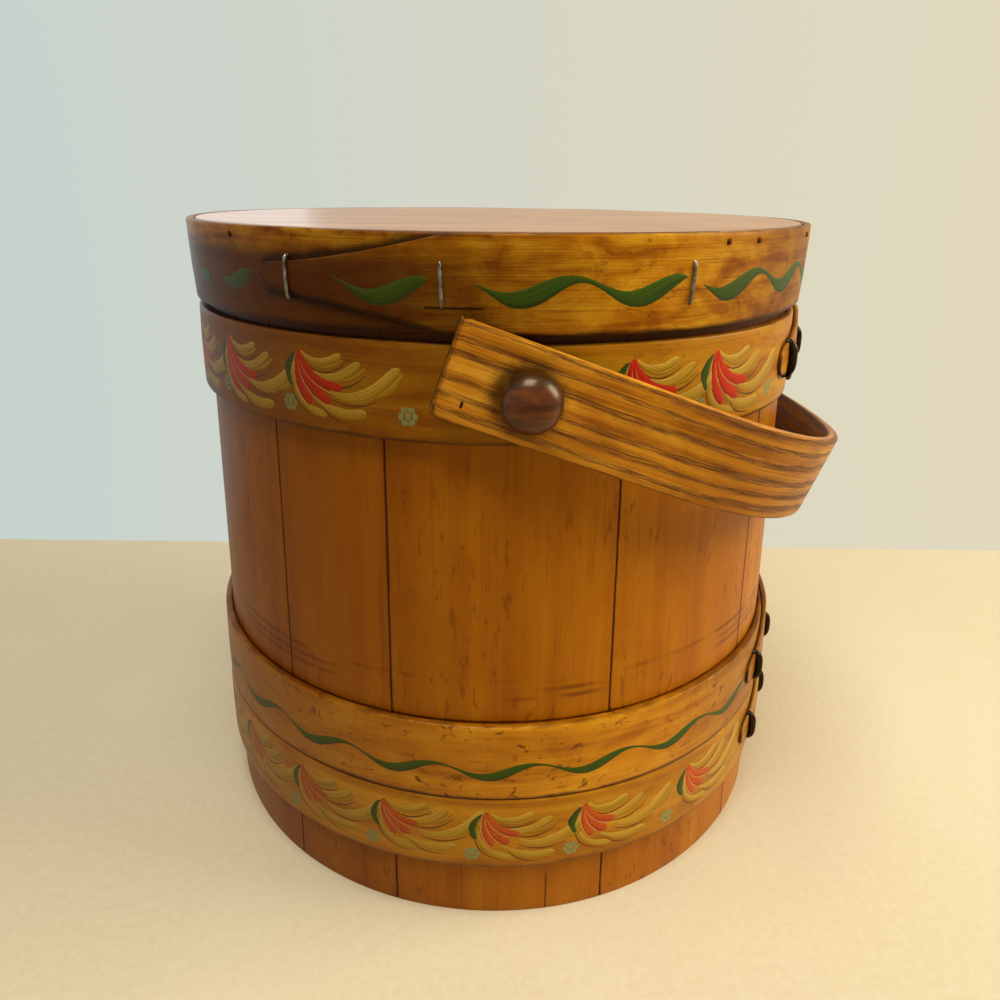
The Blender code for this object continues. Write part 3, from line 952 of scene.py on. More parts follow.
# The pegs' edge darkening paints shade round the knobs.
PEG_FINISH = WoodFinish(
    "dark_walnut_pegs", rgb(118, 55, 11), rgb(88, 37, 6), rgb(57, 22, 3), rgb(26, 9, 1),
    band_width=0.009, band_length=0.009, blotch_size=0.006, blotch_share=0.7, left_shade_share=0.0,
    streak_width=0.0006, streak_share=0.08, edge_width=0.006, edge_share=0.88, coat=0.32, roughness=0.34,
    level=0.3, relief=0.00005, dirt_and_shade=rgb(24, 8, 1),
)
STAPLE_FINISH = IronFinish("grey_wire", rgb(150, 142, 130), rgb(84, 70, 56))
BLACK_FINISH = IronFinish("blackened_iron", rgb(52, 40, 32), rgb(24, 16, 12), 0.25)
NAIL_FINISH = IronFinish("sunk_nail_heads", rgb(96, 48, 16), rgb(52, 22, 6), 0.6)


class Paint(Enum):
    """The paints of the ornament."""

    GREEN = PaintFinish("leaf_green", rgb(44, 74, 14), rgb(58, 88, 20), rgb(30, 54, 10), rgb(110, 76, 10))
    RED = PaintFinish("brick_red", rgb(196, 34, 10), rgb(206, 50, 20), rgb(166, 24, 6), rgb(180, 84, 14))
    FADED_RED = PaintFinish(
        "faded_red", rgb(190, 74, 20), rgb(198, 92, 34), rgb(164, 50, 12), rgb(184, 112, 20), 0.6
    )
    OCHRE = PaintFinish(
        "ochre", rgb(168, 124, 18), rgb(186, 142, 30), rgb(144, 98, 10), rgb(160, 104, 10), 0.4
    )
    STRAW = PaintFinish(
        "straw", rgb(184, 142, 38), rgb(206, 166, 64), rgb(158, 112, 18), rgb(174, 116, 16), 0.45
    )
    UMBER = PaintFinish("umber", rgb(104, 60, 8), rgb(120, 74, 12), rgb(84, 44, 6), rgb(150, 92, 12))
    CREAM = PaintFinish("cream", rgb(218, 160, 84), rgb(226, 172, 98), rgb(204, 140, 62), rgb(190, 126, 30))
    TEAL = PaintFinish(
        "pale_teal", rgb(138, 142, 86), rgb(150, 156, 104), rgb(132, 132, 72), rgb(168, 122, 30), 0.6
    )


# Wooden pieces


@dataclass(frozen=True)
class Staves:
    """The twelve staves, each its own board.

    Attributes:
        width_shares: How the round is shared out among them.
        first_seam_turn: Turn of the first seam.
        rounding: Radius of their long edges.
        seam: Width of the gap between two of them.
        groove_low: Lower side of the groove for the bottom board.
        groove_high: Its upper side.
        groove_depth: Its depth.
        row_step: Distance between rows of the mesh.
        hoop_edge_reach: Distance from a hoop's edge within which rows lie closer.
        seam_margin: Distance from a seam at which its dirt has ended.
        unevenness: The most that a stave's face departs from the round.
    """

    width_shares: tuple[int, ...] = (21, 36, 33, 27, 34, 25, 31, 22, 35, 28, 30, 38)
    first_seam_turn: float = radians(-42)
    rounding: float = 0.0003
    seam: float = 0.00012
    groove_low: float = 0.0182
    groove_high: float = 0.0238
    groove_depth: float = 0.004
    row_step: float = 0.006
    hoop_edge_reach: float = 0.0016
    seam_margin: float = 0.001
    unevenness: float = 0.0003

    def edge(self, height: float, from_seam: float) -> float:
        """Distance to the nearest place that is darkened: a seam, a hoop's edge, or the wood above the upper
        hoop, which takes painted shadow from the lid.

        Args:
            height: The height.
            from_seam: Distance to the nearest seam.

        Returns:
            The distance.
        """
        hoops = [abs(height - corner.z) for node in HOOPS for corner in box_of(node)]
        # Painted shadow of the lid: the wood above the upper hoop is darkened fully.
        covered = max(box_of("upper_hoop")[1].z - height, 0.0)
        return min(from_seam, covered, *hoops)

    def rows(self) -> list[tuple[float, float, float]]:
        """The mesh's rows.

        Returns:
            (height, inset of an eased end, depth of the groove) of each row, upwards.
        """
        eased_end = end_insets(self.rounding)
        levels = [(distance, inset, 0.0) for distance, inset in reversed(eased_end)]
        tiny = 0.00005
        plain = int(WALL.height / self.row_step)
        for height in spread(0, WALL.height, plain)[1:-1]:
            if not self.groove_low - self.row_step < height < self.groove_high + self.row_step:
                levels.append((height, 0.0, 0.0))
        for low, high in (box_of(node) for node in HOOPS):
            for height in (low.z, high.z):
                levels += [(height + self.hoop_edge_reach * way, 0.0, 0.0) for way in (-1, 0, 1)]
        for height, way in ((self.groove_low, 1), (self.groove_high, -1)):
            levels.append((height - way * tiny, 0.0, 0.0))
            levels.append((height, 0.0, self.groove_depth))
        levels += [(WALL.height - distance, inset, 0.0) for distance, inset in eased_end]
        return sorted(levels)

    def board(self, number: int, start: float, end: float) -> Mesh:
        """One stave's mesh.

        Args:
            number: Its number, which sets its own grain.
            start: Turn of its first seam.
            end: Turn of its other seam.

        Returns:
            The mesh.
        """
        rows = []
        middle = (start + end) / 2
        face_steps = max(6, round((end - start) * WALL.foot_radius / self.row_step))
        for height, inset, groove in self.rows():
            outer = WALL.radius(height)
            width = (end - start) * outer - self.seam
            depth = WALL.thickness - groove
            section = rounded_section(width, depth, self.rounding, face_steps, self.seam_margin)
            runs = runs_along(section)
            row = []
            for (across, through), run in zip(shrunk(section, width, depth, inset), runs):
                bend = wander(height, number + 0.3, self.unevenness, 11) * (1 - abs(2 * across / width))
                radius = outer - depth + through + bend * through / depth
                place = WALL.point(middle + across / outer, radius, height)
                edge = self.edge(height, width / 2 - abs(across))
                row.append(Corner(place, (height + number * 3.1, run + number * 0.9), edge))
            rows.append(row)
        return swept_mesh(rows)

    def build(self, pegs: "Pegs") -> None:
        """Makes all the staves.

        Args:
            pegs: The pegs that two of them are bored for.
        """
        finish = STAVE_FINISH.material()
        start = self.first_seam_turn
        total = sum(self.width_shares)
        for number, share in enumerate(self.width_shares, 1):
            end = start + 2 * pi * share / total
            piece = new_piece(f"firkin_stave_{number:02d}", self.board(number, start, end), finish)
            for turn in pegs.turns:
                if start < turn < end:
                    pegs.bore(piece, turn)
            dress(piece, Body.BUCKET, Slot.STAVES, [f"stave_{number:02d}"])
            start = end


@dataclass(frozen=True)
class BottomBoard:
    """The round board that is let into the staves.

    Attributes:
        bevel_width: Width of the bevel that thins its rim.
        rim_thickness: Thickness of the rim.
        rounding: Radius of the rim's edges.
        round_steps: Steps round the board.
    """

    bevel_width: float = 0.012
    rim_thickness: float = 0.005
    rounding: float = 0.0002
    round_steps: int = 144

    def build(self) -> None:
        """Makes the board."""
        low, high = box_of("bottom_board")
        rim = (high.x - low.x) / 2
        middle = (low.z + high.z) / 2
        rim_top = middle + self.rim_thickness / 2
        profile = [(0, high.z), (rim - self.bevel_width, high.z)]
        profile += [(rim - self.rounding, rim_top), (rim, rim_top - self.rounding)]
        profile += [(radius, 2 * middle - height) for radius, height in reversed(profile)]
        mesh = lathe_mesh(
            profile, self.round_steps, WALL.point,
            lambda turn, radius, height: (radius * sin(turn), radius * cos(turn) + height),
            lambda radius, height: rim - radius,
        )
        piece = new_piece("firkin_bottom", mesh, BOARD_FINISH.material())
        dress(piece, Body.BUCKET, Slot.BOARDS, ["bottom_board"])


@dataclass(frozen=True)
class LappedBand:
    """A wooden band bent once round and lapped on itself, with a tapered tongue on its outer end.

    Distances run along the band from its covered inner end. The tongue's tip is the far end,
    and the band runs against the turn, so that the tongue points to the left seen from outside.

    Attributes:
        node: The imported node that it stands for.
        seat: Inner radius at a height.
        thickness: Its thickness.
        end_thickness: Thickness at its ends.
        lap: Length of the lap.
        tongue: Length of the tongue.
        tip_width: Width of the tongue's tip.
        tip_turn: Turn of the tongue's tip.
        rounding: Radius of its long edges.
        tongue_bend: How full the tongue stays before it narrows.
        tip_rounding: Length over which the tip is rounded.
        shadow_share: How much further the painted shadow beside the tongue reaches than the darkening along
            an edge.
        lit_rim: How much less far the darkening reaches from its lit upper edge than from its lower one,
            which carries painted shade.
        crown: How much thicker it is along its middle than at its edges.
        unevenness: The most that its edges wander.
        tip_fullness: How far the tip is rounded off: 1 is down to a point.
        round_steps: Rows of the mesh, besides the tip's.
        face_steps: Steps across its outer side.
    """

    node: str
    seat: Callable[[float], float]
    thickness: float
    end_thickness: float
    lap: float
    tongue: float
    tip_width: float
    tip_turn: float
    rounding: float = 0.0010
    tongue_bend: float = 1.6
    tip_rounding: float = 0.005
    shadow_share: float = 1.5
    lit_rim: float = 0.0012
    crown: float = 0.00025
    unevenness: float = 0.0003
    tip_fullness: float = 0.97
    round_steps: int = 400
    face_steps: int = 22

    @property
    def low(self) -> float:
        """Height of its lower edge."""
        return box_of(self.node)[0].z

    @property
    def width(self) -> float:
        """Its width."""
        low, high = box_of(self.node)
        return high.z - low.z

    @property
    def middle(self) -> float:
        """Height of its middle."""
        return box_middle(self.node).z

    @property
    def radius(self) -> float:
        """Inner radius at its middle."""
        return self.seat(self.middle)

    @property
    def painted_radius(self) -> float:
        """Outer radius at its middle, away from the lap."""
        return self.outside(self.round / 2, self.middle)

    @property
    def round(self) -> float:
        """Length of one round."""
        return 2 * pi * self.radius

    @property
    def length(self) -> float:
        """Its whole length."""
        return self.round + self.lap

    def turn_at(self, distance: float) -> float:
        """The turn at a distance along the band."""
        return self.tip_turn + (self.length - distance) / self.radius

    def thickness_at(self, distance: float) -> float:
        """Thickness, which thins along the lap towards both ends."""
        share = min(min(distance, self.length - distance) / self.lap, 1)
        return self.end_thickness + (self.thickness - self.end_thickness) * share

    def rise_at(self, distance: float) -> float:
        """How far its inner side is lifted by the end that it covers.

        Args:
            distance: Distance along the band.

        Returns:
            The lift.
        """
        covered = distance - self.round
        if covered > 0:
            return self.thickness_at(covered) + FIT_GAP
        ramp = self.lap / 4
        return (self.end_thickness + FIT_GAP) * eased((covered + ramp) / ramp)

    def half_width_at(self, distance: float) -> float:
        """Half of its width, which closes in along the tongue and rounds off at the tip.

        Args:
            distance: Distance along the band.

        Returns:
            Half of the width.
        """
        from_tip = max(self.length - distance, 0)
        share = min(from_tip / self.tongue, 1) ** self.tongue_bend
        half = (self.tip_width + (self.width - self.tip_width) * share) / 2
        if from_tip < self.tip_rounding:
            half *= sqrt(1 - (1 - from_tip / self.tip_rounding) ** 2 * self.tip_fullness)
        return half

    def outside(self, distance: float, height: float) -> float:
        """Outer radius at a distance and a height."""
        return self.seat(height) + self.rise_at(distance) + self.thickness_at(distance)

    def outside_at_turn(self, turn: float, height: float) -> float:
        """Outer radius of its outermost layer at a turn and a height."""
        back = (turn - self.tip_turn) % (2 * pi)
        return self.outside(self.length - back * self.radius, height)

    def distances(self) -> list[float]:
        """Distances of the mesh's rows along the band, closer together at the tip."""
        tip = [self.length - self.tip_rounding * (step / 6) ** 2 for step in range(6, -1, -1)]
        return spread(0, self.length - self.tip_rounding, self.round_steps)[:-1] + tip

    def from_tongue(self, distance: float, across: float) -> float:
        """Distance from the outline of the tongue, for the painted shadow that it casts on the wood beside
        it.

        Args:
            distance: Distance along the band.
            across: Height from the band's middle.

        Returns:
            The distance, or the band's width where no tongue lies beside the wood.
        """
        above = distance + self.round
        if above > self.length + self.tip_rounding or distance > self.lap:
            return self.width
        beyond = max(above - self.length, 0)
        return hypot(max(abs(across) - self.half_width_at(above), 0), beyond) / self.shadow_share

    def mesh(self) -> Mesh:
        """Bends the band.

        Returns:
            Its mesh.
        """
        rows = []
        for distance in self.distances():
            half = self.half_width_at(distance)
            thickness = self.thickness_at(distance)
            section = rounded_section(2 * half, thickness, self.rounding, self.face_steps)
            upper, lower = (wander(distance, number, self.unevenness, 16) for number in (1, 2))
            row = []
            for (across, through), run in zip(section, runs_along(section)):
                share = across / half
                height = self.middle + across + (upper * max(share, 0) + lower * max(-share, 0))
                bulge = self.crown * (1 - share * share) * through / thickness
                radius = self.seat(height) + self.rise_at(distance) + through + bulge
                place = WALL.point(self.turn_at(distance), radius, height)
                # Painted shade: the lower edge darkens further than the lit upper edge, and the tongue casts
                # painted shadow on the wood beside it.
                from_edge = min(half + across, half - across + self.lit_rim)
                edge = min(from_edge, self.length - distance, self.from_tongue(distance, across))
                row.append(Corner(place, (distance, run + self.middle * 5), edge))
            rows.append(row)
        return swept_mesh(rows)

    def build(self, finish: WoodFinish, body: Body, slot: Slot, pegs: "Pegs | None" = None) -> Object:
        """Makes the band.

        Args:
            finish: Its finish.
            body: The body that it is on.
            slot: The record's slot for its finish.
            pegs: The pegs that it is bored for, if any.

        Returns:
            The piece.
        """
        piece = new_piece(f"firkin_{self.node}", self.mesh(), finish.material())
        for turn in pegs.turns if pegs else ():
            pegs.bore(piece, turn)
        return dress(piece, body, slot, [self.node])


def hoop(node: str) -> LappedBand:
    """A bucket hoop.

    Args:
        node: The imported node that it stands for.

    Returns:
        The hoop.
    """
    return LappedBand(
        node=node,
        seat=lambda height: WALL.radius(height) + FIT_GAP,
        thickness=0.0036,
        end_thickness=0.0012,
        lap=0.080,
        tongue=0.050,
        tip_width=0.012,
        tip_turn=radians(50),
    )


def lid_band() -> LappedBand:
    """The band round the lid, a little narrower at its lower edge.

    Returns:
        The band.
    """
    low, high = box_of("lid_band")
    board_low, board_high = box_of("lid_board")
    narrowing = 0.0004 / (high.z - low.z)
    seat_top = (board_high.x - board_low.x) / 2 + FIT_GAP * 2
    return LappedBand(
        node="lid_band",
        seat=lambda height: seat_top - narrowing * (high.z - height),
        thickness=0.0032,
        end_thickness=0.0008,
        lap=0.176,
        tongue=0.075,
        tip_width=0.010,
        tip_turn=radians(-40),
    )


@dataclass(frozen=True)
class LidBoard:
    """The round board of the lid.

    Attributes:
        rounding: Radius of its edges.
        round_steps: Steps round the board.
    """

    rounding: float = 0.0008
    round_steps: int = 180

    def build(self) -> None:
        """Makes the board."""
        low, high = box_of("lid_board")
        radius = (high.x - low.x) / 2
        bend = self.rounding
        profile = [(radius * share, high.z) for share in (0, 0.25, 0.5, 0.75, 0.95)]
        halfway = bend * 0.3
        profile += [(radius - bend, high.z), (radius - halfway, high.z - halfway), (radius, high.z - bend)]
        profile += [(wide, low.z + high.z - height) for wide, height in reversed(profile)]
        mesh = lathe_mesh(
            profile, self.round_steps, WALL.point,
            lambda turn, wide, height: (wide * sin(turn), wide * cos(turn) + 2 * height),
            lambda wide, height: radius - wide,
        )
        piece = new_piece("firkin_lid_board", mesh, BOARD_FINISH.material())
        dress(piece, Body.LID, Slot.BOARDS, ["lid_board"])


@dataclass(frozen=True)
class Pegs:
    """The two turned pegs that the bail hangs on.

    Attributes:
        turns: Where they are.
        sides: Their names.
        shank_radius: Radius of their shanks.
        knob_radius: Radius of their knobs.
        knob_length: Length of their knobs.
        knob_profile: (radius, length) shares of the knob, from its face to its neck.
        pin_radius: Radius of the cross pins inside.
        pin_length: Length of the cross pins.
        inside_length: How far the shanks stand inside the wall.
        end_easing: Bevel of the shanks' inner ends.
        unevenness: How far a knob's round departs from true, as a share of its radius.
    """

    turns: tuple[float, float] = (0.0, pi)
    sides: tuple[str, str] = ("front", "back")
    shank_radius: float = 0.006
    knob_radius: float = 0.011
    knob_length: float = 0.016
    knob_profile: tuple[Point, ...] = (
        (0, 1), (0.25, 0.99), (0.45, 0.965), (0.62, 0.92), (0.77, 0.85), (0.88, 0.76), (0.96, 0.65),
        (1, 0.52), (0.99, 0.4), (0.94, 0.27), (0.87, 0.15), (0.8, 0.06), (0.76, 0),
    )
    pin_radius: float = 0.0013
    pin_length: float = 0.026
    inside_length: float = 0.010
    end_easing: float = 0.0008
    unevenness: float = 0.035

    @property
    def height(self) -> float:
        """Height of the pegs."""
        return box_middle("peg_front").z

    @property
    def knob_seat(self) -> float:
        """Distance of the knob's inner side from the bucket's axis."""
        return -box_of("peg_front")[0].y - self.knob_length

    @property
    def inner_end(self) -> float:
        """Distance of a peg's inner end from the bucket's axis."""
        return WALL.radius(self.height) - WALL.thickness - self.inside_length

    def bore(self, piece: Object, turn: float) -> None:
        """Bores a piece for the peg at a turn."""
        start = WALL.point(turn, self.inner_end, self.height)
        bored(piece, start, WALL.point(turn, self.knob_seat, self.height), self.shank_radius + FIT_GAP)

    def peg_mesh(self, turn: float) -> Mesh:
        """One peg's mesh, a little uneven as if turned by hand.

        Args:
            turn: The peg's turn.

        Returns:
            The mesh.
        """
        seat, end, thin = self.knob_seat, self.inner_end, self.shank_radius
        knob = [(self.knob_radius * wide, seat + self.knob_length * out) for wide, out in self.knob_profile]
        shank = [(thin, seat), (thin, end + self.end_easing), (thin - self.end_easing, end)]
        outward = Vector((sin(turn), -cos(turn), 0))
        side = Vector((cos(turn), sin(turn), 0))
        axis = Vector((WALL.axis, 0, self.height))

        def place(spin: float, radius: float, out: float) -> Vector:
            """The point at a spin about the peg's axis.

            Args:
                spin: The spin.
                radius: Distance from the peg's axis.
                out: Distance from the bucket's axis.

            Returns:
                The point.
            """
            departure = noise.noise(Vector((cos(spin), sin(spin), out * 90)))
            radius *= 1 + self.unevenness * departure if out > seat else 1
            return axis + outward * out + (side * cos(spin) + Vector((0, 0, sin(spin)))) * radius

        return lathe_mesh(
            knob + shank + [(0, end)], 64, place,
            lambda spin, radius, out: (out + radius * cos(spin) * 0.4, radius * sin(spin) * 1.3),
            # Painted shade: the knob darkens from its middle towards its neck, so that it looks round.
            lambda radius, out: max(out - seat - 0.5 * self.knob_length, 0.0),
        )

    def pin_mesh(self, turn: float) -> Mesh:
        """One cross pin's mesh, slightly tapered.

        Args:
            turn: Its peg's turn.

        Returns:
            The mesh.
        """
        radius = (WALL.radius(self.height) - WALL.thickness + self.inner_end) / 2
        half = self.pin_length / 2
        shares = ((0, half), (0.6, half), (0.8, half - 0.0006), (1, 0), (0.8, -half), (0, -half))
        profile = [(self.pin_radius * share, up) for share, up in shares]
        middle = WALL.point(turn, radius, self.height)
        return lathe_mesh(
            profile, 16,
            lambda spin, thin, up: middle + Vector((thin * cos(spin), thin * sin(spin), up)),
            lambda spin, thin, up: (up, thin * spin),
            lambda thin, up: CLEAN,
        )

    def build(self) -> None:
        """Makes the pegs and their pins."""
        finish = PEG_FINISH.material()
        for side, turn in zip(self.sides, self.turns):
            for kind, mesh in (("peg", self.peg_mesh), ("peg_pin", self.pin_mesh)):
                node = f"{kind}_{side}"
                dress(new_piece(f"firkin_{node}", mesh(turn), finish), Body.BUCKET, Slot.PEGS, [node])


@dataclass(frozen=True)
class Bail:
    """The bent handle.

    Attributes:
        width: Its width.
        thickness: Its thickness.
        reach: Distance of the bow's inner side from the pivot.
        bow_depth: Length over which it bends.
        squareness: How square the bow is: 2 is a round one.
        overhang: Length of the arms beyond the pivot.
        rounding: Radius of its long edges.
        peg_clearance: Clearance of its holes round the pegs.
        dirt_and_shade_share: Share of its thickness, from the inner side, that is darkened with dirt and
            painted shade.
        lit_rim: How much less far the darkening reaches from its lit upper edge than from its lower one,
            which carries painted shade.
        brad_place: (along, across) place of a brad near the front arm's end, from the pivot.
        brad_profile: (radius, height) points of the brad, from its top to its tip.
        end_rounding: Radius of the edges of its ends.
    """

    width: float = 0.036
    thickness: float = 0.0048
    reach: float = 0.16623
    bow_depth: float = 0.105
    squareness: float = 2.2
    overhang: float = 0.0315
    rounding: float = 0.0011
    peg_clearance: float = 0.0005
    dirt_and_shade_share: float = 0.15
    lit_rim: float = 0.0008
    brad_place: Point = (-0.0215, -0.0105)
    brad_profile: tuple[Point, ...] = ((0, 0.0002), (0.0011, 0.0001), (0.0013, -0.0004), (0, -0.002))
    end_rounding: float = 0.0007

    @property
    def half_span(self) -> float:
        """Half of the distance between its arms' inner sides."""
        low, high = box_of("bail")
        return (high.y - low.y) / 2 - self.thickness

    @property
    def drop(self) -> float:
        """How far its arms slope down at rest, where its bow leans on the wall.

        Returns:
            The angle.
        """
        taper = tan(WALL.lean())
        level = WALL.radius(Pegs().height) + FIT_GAP
        along = self.reach - taper * self.width / 2
        across = self.width / 2 + taper * self.reach
        return acos(level / hypot(along, across)) - atan2(across, along)

    def path(self, step: float) -> tuple[Point, Point]:
        """Inner side and outward direction of the bow.

        Args:
            step: From 0 at one arm to 1 at the other.

        Returns:
            (reach, side) of the point and of its outward direction.
        """
        angle = pi * step
        power = 2 / self.squareness
        depth = sin(angle) ** power if 0 < step < 1 else 0.0
        side = -copysign(abs(cos(angle)) ** power, cos(angle))
        steep = self.squareness - 1
        sideways = copysign(abs(side) ** steep, side) / self.half_span
        outward = Vector((depth**steep / self.bow_depth, sideways)).normalized()
        point = (self.reach - self.bow_depth + self.bow_depth * depth, side * self.half_span)
        return point, (outward.x, outward.y)

    def stations(self) -> list[tuple[Point, Point]]:
        """All the places along it.

        Returns:
            (reach, side) of each point and of its outward direction, from arm to arm.
        """
        arm = spread(-self.overhang, self.reach - self.bow_depth, 26)[:-1]
        before = [((place, -self.half_span), (0.0, -1.0)) for place in arm]
        after = [((place, self.half_span), (0.0, 1.0)) for place in reversed(arm)]
        bow_steps = 96
        return before + [self.path(step / bow_steps) for step in range(bow_steps + 1)] + after

    def world(self, along: float, side: float, across: float) -> Vector:
        """A point of the bail at rest, from its place about the pivot."""
        lowered = Matrix.Rotation(self.drop, 3, "Y") @ Vector((along, side, across))
        return lowered + Vector((WALL.axis, 0, Pegs().height))

    def mesh(self) -> Mesh:
        """Bends the bail.

        Returns:
            Its mesh.
        """
        stations = self.stations()
        lengths = running([point for point, _ in stations])
        total = lengths[-1]
        ends = end_insets(self.end_rounding)
        (start, start_out), (end, end_out) = stations[0], stations[-1]
        places = [((start[0] + gone, start[1]), start_out, gone, inset) for gone, inset in reversed(ends)]
        places += [(point, out, length, 0.0) for (point, out), length in list(zip(stations, lengths))[1:-1]]
        places += [((end[0] + gone, end[1]), end_out, total - gone, inset) for gone, inset in ends]
        section = rounded_section(self.width, self.thickness, self.rounding, 10)
        runs = runs_along(section)
        rows = []
        for point, out, length, inset in places:
            row = []
            for (across, through), run in zip(shrunk(section, self.width, self.thickness, inset), runs):
                place = self.world(point[0] + out[0] * through, point[1] + out[1] * through, across)
                # Painted shade: the lower edge darkens further than the lit upper edge, and the inner side is
                # darkened with dirt and painted shade.
                from_edge = min(self.width / 2 + across, self.width / 2 - across + self.lit_rim)
                edge = min(from_edge, length, total - length)
                edge = 0.0 if through < self.thickness * self.dirt_and_shade_share else edge
                row.append(Corner(place, (length, run), edge))
            rows.append(row)
        return swept_mesh(rows)

    def brad_mesh(self) -> Mesh:
        """A small flat brad, driven into the front arm near its end.

        Returns:
            Its mesh.
        """
        along, across = self.brad_place
        out = self.half_span + self.thickness
        return lathe_mesh(
            self.brad_profile, 12,
            lambda spin, wide, up: self.world(
                along + wide * cos(spin) * 0.5, -out - up, across + wide * sin(spin) * 1.3
            ),
            lambda spin, wide, up: (wide, spin),
            lambda wide, up: CLEAN,
        )

    def build(self, pegs: Pegs) -> None:
        """Makes the bail.

        Args:
            pegs: The pegs that it is bored for.
        """
        piece = new_piece("firkin_bail", self.mesh(), OAK_FINISH.material())
        for way in (-1, 1):
            start = self.world(0, way * (self.half_span - self.thickness), 0)
            end = self.world(0, way * (self.half_span + 2 * self.thickness), 0)
            bored(piece, start, end, pegs.shank_radius + self.peg_clearance)
        dress(piece, Body.BAIL, Slot.BAIL, ["bail"])
        brad = new_piece("firkin_bail_brad", self.brad_mesh(), BLACK_FINISH.material())
        dress(brad, Body.BAIL, Slot.IRON)


# Pieces that repeat, made with Geometry Nodes


class SocketKind(Enum):
    """Kinds of input that a tree takes."""

    LENGTH = "NodeSocketFloat"
    COUNT = "NodeSocketInt"
    OBJECT = "NodeSocketObject"
    MATERIAL = "NodeSocketMaterial"


class PatternTree(NodeBuilder):
    """A Geometry Nodes tree with named inputs, which ends in Realize Instances and Set Material."""

    def __init__(self, name: str, inputs: dict[str, SocketKind]) -> None:
        """Starts the tree.

        Args:
            name: Its name.
            inputs: Its named inputs, besides the spots and the material.
        """
        super().__init__(bpy.data.node_groups.new(name, "GeometryNodeTree"))
        self.tree.is_modifier = True
        self.add_socket("Spots", "INPUT", "NodeSocketGeometry")
        for label, kind in inputs.items():
            self.add_socket(label, "INPUT", kind.value)
        self.add_socket("Finish", "INPUT", SocketKind.MATERIAL.value)
        self.add_socket("Pieces", "OUTPUT", "NodeSocketGeometry")
        self.inputs = self.tree.nodes.new("NodeGroupInput").outputs

    def add_socket(self, name: str, way: str, kind: str) -> None:
        """A socket of the tree."""
        self.tree.interface.new_socket(name=name, in_out=way, socket_type=kind)

    def jitter(self, reach: object, offset: int) -> NodeSocket:
        """A random number for each spot, from minus to plus reach.

        Args:
            reach: The most that it departs from zero.
            offset: What tells it from the other random numbers of the tree.

        Returns:
            The number.
        """
        seed = self.math("ADD", self.inputs["Seed"], float(offset))
        low = self.times(reach, -1.0)
        return self.node("FunctionNodeRandomValue", {2: low, 3: reach, 8: seed}, data_type="FLOAT").outputs[1]

    def named(self, attribute: str) -> NodeSocket:
        """A number that the spots carry."""
        return self.first("GeometryNodeInputNamedAttribute", {0: attribute}, data_type="FLOAT")

    def turned(self, piece: NodeSocket, *angles: object) -> NodeSocket:
        """A piece on each spot, turned by angles about X, Y and Z, all realised."""
        turn = self.first("FunctionNodeEulerToRotation", {0: self.vector(*angles)})
        return self.on_spots({"Instance": piece, "Rotation": turn})

    def on_spots(self, inputs: Inputs) -> NodeSocket:
        """A piece on each spot, realised, from the inputs that tell the piece, its turn and its scale."""
        copies = self.first("GeometryNodeInstanceOnPoints", {"Points": self.inputs["Spots"]} | inputs)
        return self.first("GeometryNodeRealizeInstances", {0: copies})

    def finish(self, geometry: NodeSocket) -> None:
        """Ends the tree.

        Args:
            geometry: Realised geometry.
        """
        smooth = self.first("GeometryNodeSetShadeSmooth", {0: geometry})
        coloured = self.first("GeometryNodeSetMaterial", {0: smooth, 2: self.inputs["Finish"]})
        self.node("NodeGroupOutput", {0: coloured})

    def run(self, name: str, spots: Mesh, values: dict[str, object]) -> Object:
        """Makes a plain mesh object with the tree.

        Args:
            name: The object's name.
            spots: The mesh whose points are the spots.
            values: The values of the named inputs.

        Returns:
            The object, with no modifier left.
        """
        piece = new_piece(name, spots)
        pattern = piece.modifiers.new("pattern", "NODES")
        pattern.node_group = self.tree
        for item in self.tree.interface.items_tree:
            if item.in_out == "INPUT" and item.name in values:
                pattern[item.identifier] = values[item.name]
        return baked(piece)


def spots_mesh(places: Sequence[Vector], numbers: dict[str, Sequence[float]]) -> Mesh:
    """A mesh of loose points.

    Args:
        places: The points.
        numbers: Numbers that the points carry, by attribute name.

    Returns:
        The mesh.
    """
    mesh = bpy.data.meshes.new("spots")
    mesh.from_pydata([tuple(place) for place in places], [], [])
    for label, values in numbers.items():
        layer = mesh.attributes.new(label, "FLOAT", "POINT")
        layer.data.foreach_set("value", list(values))
    return mesh


